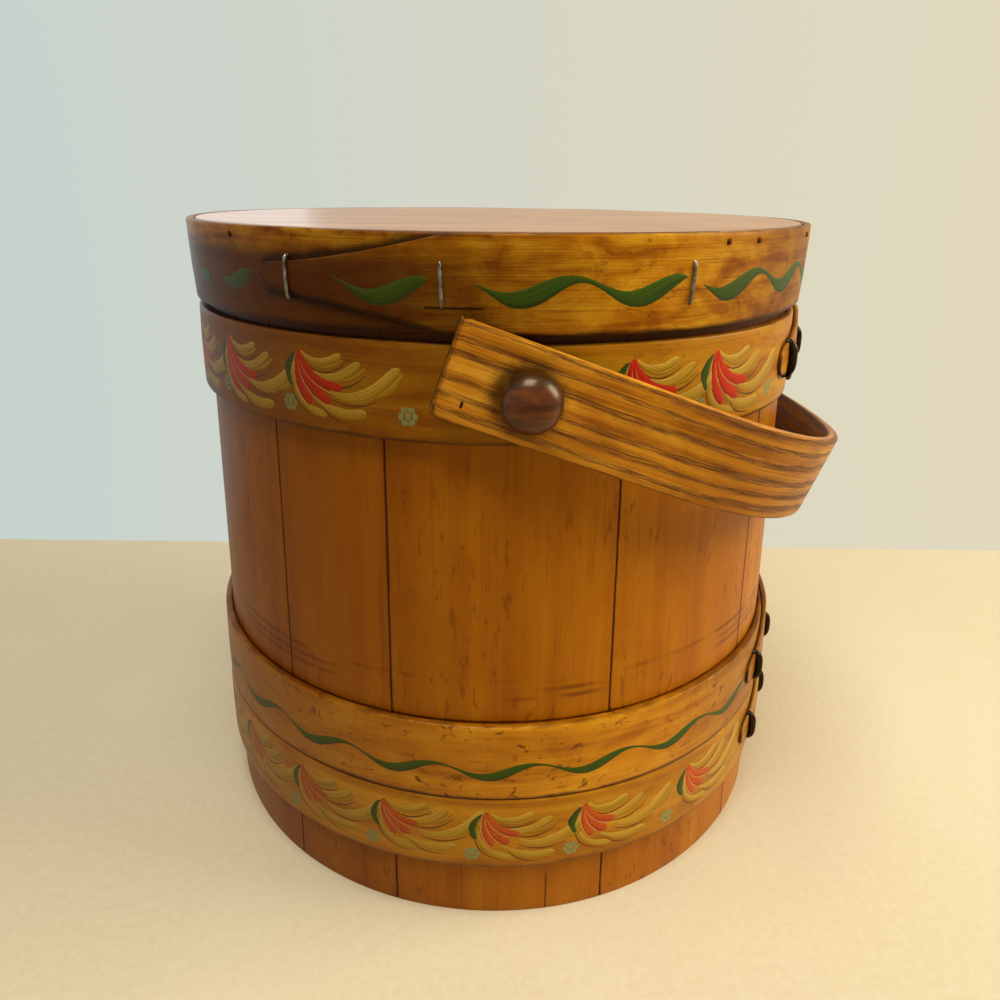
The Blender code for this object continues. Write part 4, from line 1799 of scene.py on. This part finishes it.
class StapleTree(PatternTree):
    """Wire staples that stand out of the wood in a bowed crown, with both legs in it."""

    def __init__(self) -> None:
        """Builds the tree."""
        sizes = ("Span", "Depth", "Rise", "Squareness", "Wire Radius", "Tilt")
        kinds = dict.fromkeys(sizes, SocketKind.LENGTH)
        kinds |= {"Steps": SocketKind.COUNT, "Seed": SocketKind.COUNT}
        super().__init__("bowed_staples", kinds)
        steps = self.inputs["Steps"]
        line = self.first("GeometryNodeMeshLine", {"Count": steps, "Offset": (0.0, 0.0, 0.001)})
        share = self.math("DIVIDE", self.first("GeometryNodeInputIndex"), self.minus(steps, 1.0))
        angle = self.times(self.minus(share, 0.5), pi)
        power = self.math("DIVIDE", 2.0, self.inputs["Squareness"])
        sine = self.math("SINE", angle)
        high = self.times(self.math("SIGN", sine), self.math("POWER", self.math("ABSOLUTE", sine), power))
        high = self.times(high, self.math("DIVIDE", self.inputs["Span"], 2.0))
        bowed = self.math("POWER", self.math("ABSOLUTE", self.math("COSINE", angle)), power)
        whole = self.math("ADD", self.inputs["Depth"], self.inputs["Rise"])
        inward = self.minus(self.inputs["Depth"], self.times(bowed, whole))
        bent = self.first("GeometryNodeSetPosition", {0: line, 2: self.vector(0.0, inward, high)})
        wire = self.first("GeometryNodeMeshToCurve", {0: bent})
        inputs = {"Resolution": 10, "Radius": self.inputs["Wire Radius"]}
        ring = self.first("GeometryNodeCurvePrimitiveCircle", inputs)
        tube = self.first("GeometryNodeCurveToMesh", {0: wire, 1: ring, "Fill Caps": True})
        lean = self.times(self.named("lean"), -1.0)
        self.finish(self.turned(tube, lean, self.jitter(self.inputs["Tilt"], 0), self.named("turn")))


class NailTree(PatternTree):
    """Square nail heads that lie on the wood."""

    def __init__(self) -> None:
        """Builds the tree."""
        kinds = dict.fromkeys(("Head", "Taper", "Length", "Roll"), SocketKind.LENGTH)
        super().__init__("square_nails", kinds | {"Seed": SocketKind.COUNT})
        wide = self.math("DIVIDE", self.inputs["Head"], sqrt(2))
        narrow = self.times(wide, self.inputs["Taper"])
        inputs = {"Vertices": 4, "Radius Top": narrow, "Radius Bottom": wide, "Depth": self.inputs["Length"]}
        head = self.first("GeometryNodeMeshCone", inputs)
        for turn in ((0.0, 0.0, pi / 4), (pi / 2, 0.0, 0.0)):
            head = self.first("GeometryNodeTransform", {0: head, "Rotation": turn})
        self.finish(self.turned(head, 0.0, self.jitter(self.inputs["Roll"], 0), self.named("turn")))


class BrushTree(PatternTree):
    """Flat strokes, repeated along a band and laid on its outer side by rays cast at it."""

    def __init__(self) -> None:
        """Builds the tree."""
        kinds = dict.fromkeys(("Axis", "Radius", "Start Radius", "Sway", "Size Change"), SocketKind.LENGTH)
        kinds |= {"Strokes": SocketKind.OBJECT, "Band": SocketKind.OBJECT, "Seed": SocketKind.COUNT}
        super().__init__("brushed_ornament", kinds)
        strokes = self.node("GeometryNodeObjectInfo", {0: self.inputs["Strokes"]}).outputs["Geometry"]
        size = self.math("ADD", 1.0, self.jitter(self.inputs["Size Change"], 1))
        sway = self.vector(0.0, self.jitter(self.inputs["Sway"], 0), 0.0)
        sway = self.first("FunctionNodeEulerToRotation", {0: sway})
        flat = self.on_spots({"Instance": strokes, "Rotation": sway, "Scale": self.vector(size, 1.0, size)})
        along, inward, high = self.parts(self.first("GeometryNodeInputPosition"))
        turn = self.math("DIVIDE", along, self.inputs["Radius"])
        outward = self.vector(self.math("SINE", turn), self.times(self.math("COSINE", turn), -1.0), 0.0)
        centre = self.vector(self.inputs["Axis"], 0.0, high)
        band = self.node("GeometryNodeObjectInfo", {0: self.inputs["Band"]})
        ray = self.node("GeometryNodeRaycast", {
            "Target Geometry": band.outputs["Geometry"],
            "Source Position": self.moved(centre, outward, self.inputs["Start Radius"]),
            "Ray Direction": self.moved(None, outward, -1.0), "Ray Length": self.inputs["Start Radius"],
        })
        plain = self.moved(centre, outward, self.inputs["Radius"])
        inputs = {0: ray.outputs["Is Hit"], 1: plain, 2: ray.outputs["Hit Position"]}
        found = self.first("GeometryNodeSwitch", inputs, input_type="VECTOR")
        lifted = self.moved(found, outward, self.times(inward, -1.0))
        self.finish(self.first("GeometryNodeSetPosition", {0: flat, 2: lifted}))

    def lay(self, name: str, places: Sequence[Vector], values: dict[str, object]) -> Object:
        """Paints flat strokes on a band.

        Args:
            name: The painted piece's name.
            places: Where the strokes go, along the band and up.
            values: The tree's inputs: the strokes, which are removed, the band, its radius and the rest.

        Returns:
            The painted piece.
        """
        ray_reach = 0.02
        ray_start = values["Radius"] + ray_reach
        plain = {"Axis": WALL.axis, "Start Radius": ray_start, "Sway": 0.0, "Size Change": 0.0, "Seed": 0}
        piece = self.run(name, spots_mesh(places, {}), plain | values)
        bpy.data.objects.remove(values["Strokes"], do_unlink=True)
        return piece

    def moved(self, start: NodeSocket | None, way: NodeSocket, by: object) -> NodeSocket:
        """A point moved along a direction.

        Args:
            start: The point, or None for the origin.
            way: The direction.
            by: How far.

        Returns:
            The moved point.
        """
        step = self.first("ShaderNodeVectorMath", {0: way, "Scale": by}, operation="SCALE")
        if start is None:
            return step
        return self.first("ShaderNodeVectorMath", {0: start, 1: step}, operation="ADD")


@dataclass(frozen=True)
class Staples:
    """A band's row of staples.

    Attributes:
        setbacks: Distances from the tongue's tip.
        span: Height of a staple.
        rise: How far its crown stands out.
        squareness: How square its crown is.
        wire_radius: Radius of its wire.
        depth: Length of its legs in the wood.
        tilt: The most that it leans to a side.
        wire_steps: Points along its wire.
        seed: What its small differences start from.
    """

    setbacks: tuple[float, ...]
    span: float = 0.015
    rise: float = 0.0009
    squareness: float = 7.0
    wire_radius: float = 0.0007
    depth: float = 0.0035
    tilt: float = radians(2.5)
    wire_steps: int = 25
    seed: int = 4

    def spots(self, bands: Sequence[LappedBand]) -> Mesh:
        """A point on each band's outer side for each staple.

        Args:
            bands: The bands.

        Returns:
            The points, with the turn and the lean of each.
        """
        places, turns, leans = [], [], []
        for band in bands:
            for setback in self.setbacks:
                distance = band.length - setback
                turn = band.turn_at(distance)
                places.append(WALL.point(turn, band.outside(distance, band.middle), band.middle))
                turns.append(turn)
                leans.append(atan2(band.seat(band.low) - band.seat(band.low + band.width), band.width))
        return spots_mesh(places, {"turn": turns, "lean": leans})

    def build(self, name: str, bands: Sequence[LappedBand], body: Body, finish: Material) -> None:
        """Makes the staples of some bands on one body.

        Args:
            name: The piece's name.
            bands: The bands.
            body: The body that they are on.
            finish: Their material.
        """
        values = {
            "Span": self.span, "Depth": self.depth, "Rise": self.rise, "Squareness": self.squareness,
            "Wire Radius": self.wire_radius, "Tilt": self.tilt, "Steps": self.wire_steps,
            "Seed": self.seed, "Finish": finish,
        }
        numbers = range(1, len(self.setbacks) + 1)
        nodes = [f"{band.node}_staple_{number}" for band in bands for number in numbers]
        piece = StapleTree().run(name, self.spots(bands), values)
        dress(piece, body, Slot.IRON, nodes)


@dataclass(frozen=True)
class LidNails:
    """The nails round the lid.

    Attributes:
        head: Width of a head.
        drop: Distance below the lid's top.
        taper: Width of a head's inner side, as a share of its outer side's.
        length: Length of a head.
        roll: The most that a head is turned about its own axis.
        sunk: How far its middle is sunk in the wood.
        seed: What its small differences start from.
        turns: Where they are, in degrees.
    """

    head: float = 0.0024
    drop: float = 0.0035
    taper: float = 0.7
    length: float = 0.0008
    roll: float = radians(9)
    sunk: float = 0.0002
    seed: int = 11
    turns: tuple[float, ...] = (-47, 29.3, 36.3, 57, 84, 112, 140, 168, 196, 224, 252, 280)

    def build(self, band: LappedBand, finish: Material) -> None:
        """Makes the nails.

        Args:
            band: The band that they are driven through.
            finish: Their material.
        """
        height = band.low + band.width - self.drop
        turns = [radians(degrees) for degrees in self.turns]
        places = [WALL.point(turn, band.outside_at_turn(turn, height) - self.sunk, height) for turn in turns]
        values = {"Head": self.head, "Taper": self.taper, "Length": self.length, "Roll": self.roll}
        values |= {"Seed": self.seed, "Finish": finish}
        piece = NailTree().run("firkin_lid_nails", spots_mesh(places, {"turn": turns}), values)
        dress(piece, Body.LID, Slot.IRON, [f"lid_nail_{number:02d}" for number in range(1, len(turns) + 1)])


# Painted ornament


@dataclass(frozen=True)
class Stroke:
    """One touch of the brush, through three points, swelling and thinning.

    Attributes:
        paint: Its paint.
        start: Where it starts, as shares of the motif's height from its top left.
        via: Where it is halfway.
        end: Where it ends.
        widths: Its width at the start, halfway and at the end, as shares of the motif's height.
    """

    paint: Paint
    start: Point
    via: Point
    end: Point
    widths: tuple[float, float, float]

    def scaled(self, reach: float) -> "Stroke":
        """The same touch, reaching more or less far to the side."""
        places = [(along * reach, up * (0.5 + reach / 2)) for along, up in (self.start, self.via, self.end)]
        return Stroke(self.paint, *places, self.widths)

    def point(self, share: float) -> Point:
        """A point of its middle line.

        Args:
            share: The share of its length at which it lies.

        Returns:
            The point.
        """
        first = (1 - share) * (1 - 2 * share)
        middle = 4 * share * (1 - share)
        last = share * (2 * share - 1)
        return tuple(first * a + middle * b + last * c for a, b, c in zip(self.start, self.via, self.end))

    def half_width(self, share: float) -> float:
        """Half of its width at a share of its length, with rounded ends.

        Args:
            share: The share.

        Returns:
            Half of the width.
        """
        first, middle, last = self.widths
        towards = first if share < 0.5 else last
        wide = middle + (towards - middle) * abs(2 * share - 1)
        length = dist(self.start, self.via) + dist(self.via, self.end)
        rounded = 1.0
        for from_end, end_width in ((share, first), (1 - share, last)):
            cap = min(0.55 * end_width / length, 0.3)
            if from_end < cap:
                rounded = sqrt(1 - (1 - from_end / cap) ** 2 * 0.98)
        return wide / 2 * rounded


@dataclass(frozen=True)
class StrokeBuilder:
    """Lays strokes out flat: X along the band, Z up, and -Y out of it.

    Attributes:
        size: Height of the motif.
        rise: How far a stroke stands proud.
        sunk: How far its rim is sunk in the wood.
        layer: How much higher each stroke lies than the one before.
        across_steps: Steps across a stroke.
    """

    size: float
    rise: float = 0.00004
    sunk: float = 0.00003
    layer: float = 0.000004
    across_steps: int = 4

    def add(
        self,
        shape: BMesh,
        number: int,
        steps: int,
        point: Callable[[float], Point],
        half_width: Callable[[float], float],
    ) -> None:
        """Adds one closed stroke.

        Args:
            shape: The bmesh to add to.
            number: The stroke's number in its motif, which lifts it over the ones before.
            steps: Steps along it.
            point: The middle line's point at a share of its length.
            half_width: Half of its width at a share of its length.
        """
        layer_map = shape.loops.layers.uv.verify()
        rings = []
        for step in range(steps + 1):
            share = (1 - cos(pi * step / steps)) / 2
            tiny = 0.01
            before = Vector(point(max(share - tiny, 0)))
            after = Vector(point(min(share + tiny, 1)))
            ahead = (after - before).normalized()
            side = Vector((-ahead.y, ahead.x))
            middle = Vector(point(share))
            ring = []
            for lane in range(self.across_steps + 1):
                across = 2 * lane / self.across_steps - 1
                flat = (middle + side * across * half_width(share)) * self.size
                lift = (self.rise + self.sunk + self.layer * number) * (1 - across**4) - self.sunk
                ring.append(shape.verts.new((flat.x, -lift, flat.y)))
            rings.append(ring)
        for step in range(steps):
            for lane in range(self.across_steps):
                spots = ((step, lane), (step, lane + 1), (step + 1, lane + 1), (step + 1, lane))
                face = shape.faces.new([rings[along][across] for along, across in spots])
                for loop, (along, across) in zip(face.loops, spots):
                    loop[layer_map].uv = (along / steps + number * 1.37, across / self.across_steps)
            shape.faces.new([rings[step][0], rings[step + 1][0], rings[step + 1][-1], rings[step][-1]])
        shape.faces.new(rings[0])
        shape.faces.new(rings[-1][::-1])

    def helper(self, shape: BMesh) -> Object:
        """The flat strokes as a helper object.

        Args:
            shape: The strokes, which are freed.

        Returns:
            The helper, with a "stroke" UV map.
        """
        mesh = finish_mesh(shape, 60)
        mesh.uv_layers[0].name = "stroke"
        return new_piece("flat_strokes", mesh)


FAN = (
    Stroke(Paint.STRAW, (-0.08, -0.20), (0.00, -0.74), (0.54, -0.95), (0.03, 0.13, 0.18)),
    Stroke(Paint.UMBER, (-0.12, -0.26), (-0.06, -0.80), (0.44, -1.04), (0.015, 0.04, 0.015)),
    Stroke(Paint.STRAW, (0.30, -0.70), (0.74, -0.88), (1.22, -0.83), (0.06, 0.21, 0.19)),
    Stroke(Paint.UMBER, (0.42, -0.80), (0.64, -0.98), (0.98, -1.02), (0.015, 0.04, 0.015)),
    Stroke(Paint.STRAW, (0.60, -0.58), (1.18, -0.58), (1.74, -0.12), (0.08, 0.25, 0.25)),
    Stroke(Paint.OCHRE, (1.34, -0.58), (1.60, -0.46), (1.80, -0.20), (0.05, 0.13, 0.08)),
    Stroke(Paint.UMBER, (0.58, -0.66), (0.98, -0.75), (1.40, -0.63), (0.015, 0.045, 0.015)),
    Stroke(Paint.STRAW, (0.16, -0.26), (0.64, -0.39), (1.12, -0.10), (0.06, 0.19, 0.20)),
    Stroke(Paint.OCHRE, (0.72, -0.41), (1.00, -0.34), (1.20, -0.17), (0.03, 0.08, 0.05)),
    Stroke(Paint.UMBER, (0.46, -0.47), (0.86, -0.49), (1.20, -0.28), (0.015, 0.045, 0.015)),
    Stroke(Paint.STRAW, (0.05, -0.04), (0.40, -0.18), (0.80, -0.02), (0.05, 0.16, 0.16)),
    Stroke(Paint.OCHRE, (0.30, -0.22), (0.56, -0.23), (0.84, -0.09), (0.03, 0.07, 0.04)),
    Stroke(Paint.UMBER, (0.24, -0.25), (0.52, -0.31), (0.86, -0.15), (0.015, 0.04, 0.015)),
    Stroke(Paint.GREEN, (-0.05, -0.08), (-0.20, -0.34), (-0.13, -0.60), (0.05, 0.19, 0.09)),
    Stroke(Paint.RED, (0.04, -0.02), (0.27, -0.38), (0.82, -0.50), (0.08, 0.23, 0.20)),
    Stroke(Paint.RED, (0.02, -0.03), (0.19, -0.46), (0.61, -0.75), (0.10, 0.23, 0.20)),
    Stroke(Paint.RED, (-0.01, -0.06), (0.03, -0.50), (0.26, -0.82), (0.08, 0.19, 0.18)),
    Stroke(Paint.CREAM, (-0.05, -0.10), (-0.07, -0.50), (0.16, -0.86), (0.012, 0.026, 0.012)),
    Stroke(Paint.CREAM, (0.01, -0.20), (0.09, -0.48), (0.36, -0.76), (0.010, 0.022, 0.010)),
    Stroke(Paint.CREAM, (0.06, -0.18), (0.22, -0.43), (0.62, -0.61), (0.010, 0.022, 0.010)),
)


def flower(petals: int = 6, ring: float = 0.1, petal: float = 0.125) -> tuple[Stroke, ...]:
    """A small flower of round dabs about its middle.

    Args:
        petals: Number of dabs in its ring.
        ring: Radius of the ring, as a share of a motif's height.
        petal: Width of a dab, as a share of a motif's height.

    Returns:
        The dabs.
    """
    dabs = []
    for turn in (2 * pi * number / petals for number in range(petals)):
        way = (cos(turn), sin(turn))
        start, via, end = (tuple(part * reach for part in way) for reach in (ring * 0.6, ring, ring * 1.4))
        dabs.append(Stroke(Paint.TEAL, start, via, end, (petal, petal, petal)))
    reach = ring * 0.45
    dabs.append(Stroke(Paint.TEAL, (-reach, 0.0), (0.0, 0.0), (reach, 0.0), (petal, petal, petal)))
    return tuple(dabs)


@dataclass(frozen=True)
class Ornament:
    """Fans and flowers along one hoop.

    Attributes:
        name: Start of its pieces' names.
        fan_turns: Turns of the fans' tops, in degrees.
        flower_turns: Turns of the flowers' middles, in degrees.
        fan_drop: Distance of the fans' tops below the hoop's upper edge.
        flower_drop: Distance of the flowers' middles below it.
        size: Height of a fan.
        seed: What its small differences start from.
        sway: The most that a motif leans to a side.
        size_change: The most that a motif's size departs from usual, as a share of it.
        faded: Whether its red has faded.
        red_reach: How far its red dabs reach, as a share of the fan's own.
    """

    name: str
    fan_turns: Sequence[float]
    flower_turns: Sequence[float]
    fan_drop: float
    flower_drop: float
    size: float
    seed: int
    sway: float = radians(4)
    size_change: float = 0.05
    faded: bool = False
    red_reach: float = 1.0

    def flat_strokes(self, strokes: Sequence[Stroke], paint: Paint) -> Object | None:
        """The strokes of one paint, laid out flat.

        Args:
            strokes: The motif.
            paint: The paint.

        Returns:
            A helper object, or None where the motif has none of that paint.
        """
        wanted = Paint.RED if self.faded and paint is Paint.FADED_RED else paint
        if self.faded and paint is Paint.RED:
            return None
        chosen = [(number, stroke) for number, stroke in enumerate(strokes) if stroke.paint is wanted]
        if not chosen:
            return None
        builder = StrokeBuilder(self.size)
        shape = bmesh.new()
        for number, stroke in chosen:
            if stroke.paint in (Paint.RED, Paint.CREAM):
                stroke = stroke.scaled(self.red_reach)
            steps = 6 if len(strokes) < len(FAN) else 14
            builder.add(shape, number, steps, stroke.point, stroke.half_width)
        return builder.helper(shape)

    def build(self, tree: BrushTree, band: LappedBand, surface: Object) -> None:
        """Paints the hoop.

        Args:
            tree: The tree that lays strokes on a band.
            band: The hoop's sizes.
            surface: The hoop's piece.
        """
        top = band.low + band.width
        radius = band.painted_radius
        fans = (FAN, self.fan_turns, self.fan_drop)
        for motif, turns, drop in (fans, (flower(), self.flower_turns, self.flower_drop)):
            places = [Vector((radians(turn) * radius, 0, top - drop)) for turn in turns]
            for paint in Paint:
                strokes = self.flat_strokes(motif, paint)
                if strokes:
                    values = {"Sway": self.sway, "Size Change": self.size_change, "Seed": self.seed}
                    values |= {"Strokes": strokes, "Band": surface, "Radius": radius}
                    values["Finish"] = finish_of(paint)
                    piece = tree.lay(f"{self.name}_{paint.value.name}", places, values)
                    dress(piece, Body.BUCKET, None)


@dataclass(frozen=True)
class Ribbon:
    """A waving green line, thick in its troughs and thin on its crests.

    Attributes:
        name: The piece's name.
        runs: (start, end, turn of a trough) of each stroke, in degrees.
        period: Distance from crest to crest, in degrees.
        height: Height of its middle above the band's lower edge.
        swing: How far it goes up and down from there.
        thin: Its width on the crests.
        thick: Its width in the troughs.
        taper: Length over which a stroke swells at its start.
        end_taper: Length over which it closes at its end.
        lag: How far beyond a trough it is widest, as an angle of the wave.
        unevenness: The most that it departs from the wave.
        step: Usual distance between points along it.
    """

    name: str
    runs: Sequence[tuple[float, float, float]]
    period: float
    height: float
    swing: float
    thin: float
    thick: float
    taper: float = 0.012
    end_taper: float = 0.004
    lag: float = 0.9
    unevenness: float = 0.0006
    step: float = 0.0009

    def build(self, tree: BrushTree, band: LappedBand, surface: Object, body: Body) -> None:
        """Paints the band.

        Args:
            tree: The tree that lays strokes on a band.
            band: The band's sizes.
            surface: The band's piece.
            body: The body that it is on.
        """
        radius = band.painted_radius
        shape = bmesh.new()
        builder = StrokeBuilder(1.0, across_steps=6)
        for number, (start, end, trough) in enumerate(self.runs):
            first, last, low = (radians(turn) * radius for turn in (start, end, trough))
            wave = 2 * pi / (radians(self.period) * radius)

            def point(share: float) -> Point:
                """The middle line's point at a share of the stroke's length.

                Args:
                    share: The share.

                Returns:
                    The point.
                """
                along = first + (last - first) * share
                drift = wander(along, number, self.unevenness, 9)
                return along, self.height - self.swing * cos(wave * (along - low)) + drift

            def half_width(share: float) -> float:
                """Half of the stroke's width at a share of its length.

                Args:
                    share: The share.

                Returns:
                    Half of the width.
                """
                along = first + (last - first) * share
                full = 0.5 + 0.5 * cos(wave * (along - low) - self.lag)
                start_share = min(max(along - first, 0) / self.taper, 1)
                end_share = min(start_share, max(last - along, 0) / self.end_taper) ** 0.6
                return (self.thin + (self.thick - self.thin) * full) / 2 * max(end_share, 0.02)

            steps = max(12, round((last - first) / self.step))
            builder.add(shape, number, steps, point, half_width)
        values = {"Strokes": builder.helper(shape), "Band": surface, "Radius": radius}
        values["Finish"] = finish_of(Paint.GREEN)
        dress(tree.lay(self.name, [Vector((0, 0, band.low))], values), body, None)


def finish_of(paint: Paint) -> Material:
    """A paint's material, made once."""
    return bpy.data.materials.get(paint.value.name) or paint.value.material()


CAMERA_TURN = 4.1
UPPER_ORNAMENT = Ornament(
    name="upper_hoop",
    fan_turns=[-52.1, -34.4, -7.0, 15.1, 30.2, *spread(66, 290.6, 14)],
    flower_turns=[-53.5, -36.3, -16.6, 27.2, 46.0, *spread(81, 289, 13)],
    fan_drop=0.0052,
    flower_drop=0.0268,
    size=0.0262,
    seed=3,
)
LOWER_ORNAMENT = Ornament(
    name="lower_hoop",
    fan_turns=[-39.1, -22.4, -5.3, 10.9, 31.7, *spread(66, 304, 15)],
    flower_turns=[-41.5, -24.5, -7.6, 8.7, 27.2, *spread(63, 302, 15)],
    fan_drop=0.0055,
    flower_drop=0.0300,
    size=0.0265,
    seed=9,
    faded=True,
    red_reach=0.72,
)
LID_RIBBON = Ribbon(
    name="lid_ribbon",
    runs=((-51.6, -42.6, -48.3), (-27.2, -13.2, -20.6), (-7.4, 22.4, -1.8), (25.2, 304, 29.6)),
    period=16.0,
    height=0.0157,
    swing=0.0034,
    thin=0.0019,
    thick=0.0080,
)
MIDDLE_RIBBON = Ribbon(
    name="middle_hoop_ribbon",
    runs=((-306.5, 49.5, -5.4),),
    period=15.65,
    height=0.0155,
    swing=0.0030,
    thin=0.0012,
    thick=0.0058,
)


# The stage


@dataclass(frozen=True)
class Lamp:
    """A soft square lamp that points at the bucket.

    Attributes:
        name: Its name.
        turn: Where it stands, in degrees.
        distance: Its distance from the bucket's axis.
        height: Its height.
        size: Its width.
        watts: Its power.
        colour: Its colour.
    """

    name: str
    turn: float
    distance: float
    height: float
    size: float
    watts: float
    colour: Light

    def build(self) -> None:
        """Places the lamp."""
        data = bpy.data.lights.new(self.name, "AREA")
        data.size = self.size
        data.energy = self.watts
        data.color = self.colour
        lamp = new_piece(self.name, data)
        lamp.location = WALL.point(radians(self.turn), self.distance, self.height)
        aim = Vector((WALL.axis, 0, WALL.height / 2)) - lamp.location
        lamp.rotation_euler = aim.to_track_quat("-Z", "Y").to_euler()


LAMPS = (
    Lamp("key", turn=82, distance=1.3, height=0.9, size=0.8, watts=19.5, colour=(1.0, 0.90, 0.70)),
    Lamp("window", turn=-150, distance=1.3, height=0.5, size=0.8, watts=1.5, colour=(0.80, 0.90, 1.0)),
    Lamp("overhead", turn=-20, distance=0.5, height=1.85, size=0.9, watts=29.5, colour=(1.0, 0.94, 0.82)),
)


@dataclass(frozen=True)
class Stage:
    """The camera, the floor, the world and the lamps.

    Attributes:
        floor_size: Width of the floor.
        floor_behind: Distance of its far edge behind the bucket's axis.
        floor_colour: Its colour.
        backdrop: Colour that the camera and glossy surfaces see on the cool side.
        warm_backdrop: Colour that they see on the warm side.
        backdrop_strength: Its strength.
        ambient: Colour of the soft light from all round.
        ambient_strength: Its strength.
        lens: The camera's focal length in millimetres, on a 36 mm sensor.
        camera_turn: Where the camera stands, left of the front.
        camera_distance: Its distance from the bucket's axis.
        camera_height: Its height.
        pitch: How far it looks down.
        yaw: How far it looks to the right of the axis.
        roll: How far it is turned anticlockwise.
    """

    floor_size: float = 2.8
    floor_behind: float = 0.236
    floor_colour: Colour = rgb(208, 196, 166)
    backdrop: Colour = rgb(196, 210, 208)
    warm_backdrop: Colour = rgb(228, 217, 188)
    backdrop_strength: float = 1.0
    ambient: Colour = (1.0, 0.95, 0.86, 1.0)
    ambient_strength: float = 0.17
    lens: float = 27.0
    camera_turn: float = radians(CAMERA_TURN)
    camera_distance: float = 0.4121
    camera_height: float = 0.3187
    pitch: float = 0.3972
    yaw: float = 0.0053
    roll: float = 0.0115

    def camera(self) -> None:
        """Places the camera at the photograph's viewing angle."""
        data = bpy.data.cameras.new("camera")
        data.lens = self.lens
        data.sensor_width = 36.0
        data.clip_start = 0.01
        camera = new_piece("camera", data)
        camera.location = WALL.point(-self.camera_turn, self.camera_distance, self.camera_height)
        heading = self.camera_turn + self.yaw
        level = Vector((sin(heading), cos(heading), 0))
        ahead = level * cos(self.pitch) - Vector((0, 0, sin(self.pitch)))
        right = Vector((cos(heading), -sin(heading), 0))
        up = right.cross(ahead)
        tilted_right = right * cos(self.roll) + up * sin(self.roll)
        tilted_up = tilted_right.cross(ahead)
        turned = Matrix((tilted_right, tilted_up, -ahead)).transposed()
        camera.rotation_euler = turned.to_euler()
        bpy.context.scene.camera = camera

    def floor(self) -> None:
        """Lays the floor."""
        shape = bmesh.new()
        half = self.floor_size / 2
        place = Matrix.Rotation(-self.camera_turn - self.yaw, 4, "Z")
        place @= Matrix.Translation((0, self.floor_behind - half, 0))
        bmesh.ops.create_grid(shape, x_segments=1, y_segments=1, size=half, matrix=place)
        mesh = bpy.data.meshes.new("floor")
        shape.to_mesh(mesh)
        shape.free()
        shading = Shading("pale_table")
        spot = shading.place()
        flecks = shading.clouds(shading.scaled(spot, 260, 260, 1), 3, 0.6)
        stains = shading.clouds(shading.scaled(spot, 5, 5, 1), 3, 0.5)
        colour = shading.ramp(flecks, ((0.3, rgb(202, 188, 156)), (0.7, self.floor_colour)))
        colour = shading.mix(shading.step(stains, 0.45, 0.7, 0.0, 0.25), colour, rgb(216, 206, 180))
        shading.feed(shading.shader, {"Base Color": colour, "Roughness": 0.6})
        floor = new_piece("floor", mesh, shading.material)

    def world(self) -> None:
        """A pale backdrop for what sees it, and a soft light from all round."""
        world = bpy.data.worlds.new("studio")
        bpy.context.scene.world = world
        world.use_nodes = True
        builder = NodeBuilder(world.node_tree)
        world.node_tree.nodes.clear()
        rays = builder.node("ShaderNodeLightPath").outputs
        seen = builder.math("MAXIMUM", rays["Is Camera Ray"], rays["Is Glossy Ray"])
        seen = builder.math("MAXIMUM", seen, rays["Is Transmission Ray"])
        side = builder.parts(builder.node("ShaderNodeTexCoord").outputs["Generated"])[0]
        warmth = builder.first("ShaderNodeMapRange", {0: side, 1: -0.6, 2: 0.7})
        inputs = {0: warmth, 6: self.backdrop, 7: self.warm_backdrop}
        colour = builder.node("ShaderNodeMix", inputs, data_type="RGBA").outputs[2]
        light, shown = (
            builder.first("ShaderNodeBackground", {"Color": tone, "Strength": strength})
            for tone, strength in ((self.ambient, self.ambient_strength), (colour, self.backdrop_strength))
        )
        both = builder.first("ShaderNodeMixShader", {0: seen, 1: light, 2: shown})
        builder.node("ShaderNodeOutputWorld", {0: both})

    def build(self) -> None:
        """Makes the whole stage."""
        bpy.context.scene.view_settings.view_transform = "Standard"
        self.camera()
        self.floor()
        self.world()
        for lamp in LAMPS:
            lamp.build()


def clear_scene() -> None:
    """Removes the objects of the startup scene, but none of the frame's."""
    for found in filter(None, map(bpy.data.objects.get, ("Cube", "Light", "Camera"))):
        bpy.data.objects.remove(found, do_unlink=True)


def main() -> None:
    """Builds the classes in order."""
    logging.basicConfig(level=logging.INFO, format="%(name)s: %(message)s")
    clear_scene()
    Stage().build()

    pegs = Pegs()
    Staves().build(pegs)
    BottomBoard().build()
    pegs.build()

    tree = BrushTree()
    lower, middle, upper = (hoop(node) for node in HOOPS)
    lower_piece = lower.build(LOWER_HOOP_FINISH, Body.BUCKET, Slot.HOOPS)
    middle_piece = middle.build(HOOP_FINISH, Body.BUCKET, Slot.HOOPS)
    upper_piece = upper.build(UPPER_HOOP_FINISH, Body.BUCKET, Slot.HOOPS, pegs)
    black = BLACK_FINISH.material()
    bowed = Staples(setbacks=(0.013, 0.055), span=0.0143, rise=0.0019, squareness=3.2, wire_radius=0.0019)
    bowed.build("firkin_hoop_staples", (lower, middle, upper), Body.BUCKET, black)
    UPPER_ORNAMENT.build(tree, upper, upper_piece)
    LOWER_ORNAMENT.build(tree, lower, lower_piece)
    MIDDLE_RIBBON.build(tree, middle, middle_piece, Body.BUCKET)

    LidBoard().build()
    band = lid_band()
    band_piece = band.build(LID_BAND_FINISH, Body.LID, Slot.BAND)
    wire = Staples(setbacks=(0.014, 0.073, 0.162))
    wire.build("firkin_lid_staples", (band,), Body.LID, STAPLE_FINISH.material())
    LidNails().build(band, NAIL_FINISH.material())
    LID_RIBBON.build(tree, band, band_piece, Body.LID)

    Bail().build(pegs)


if __name__ == "__main__":
    main()
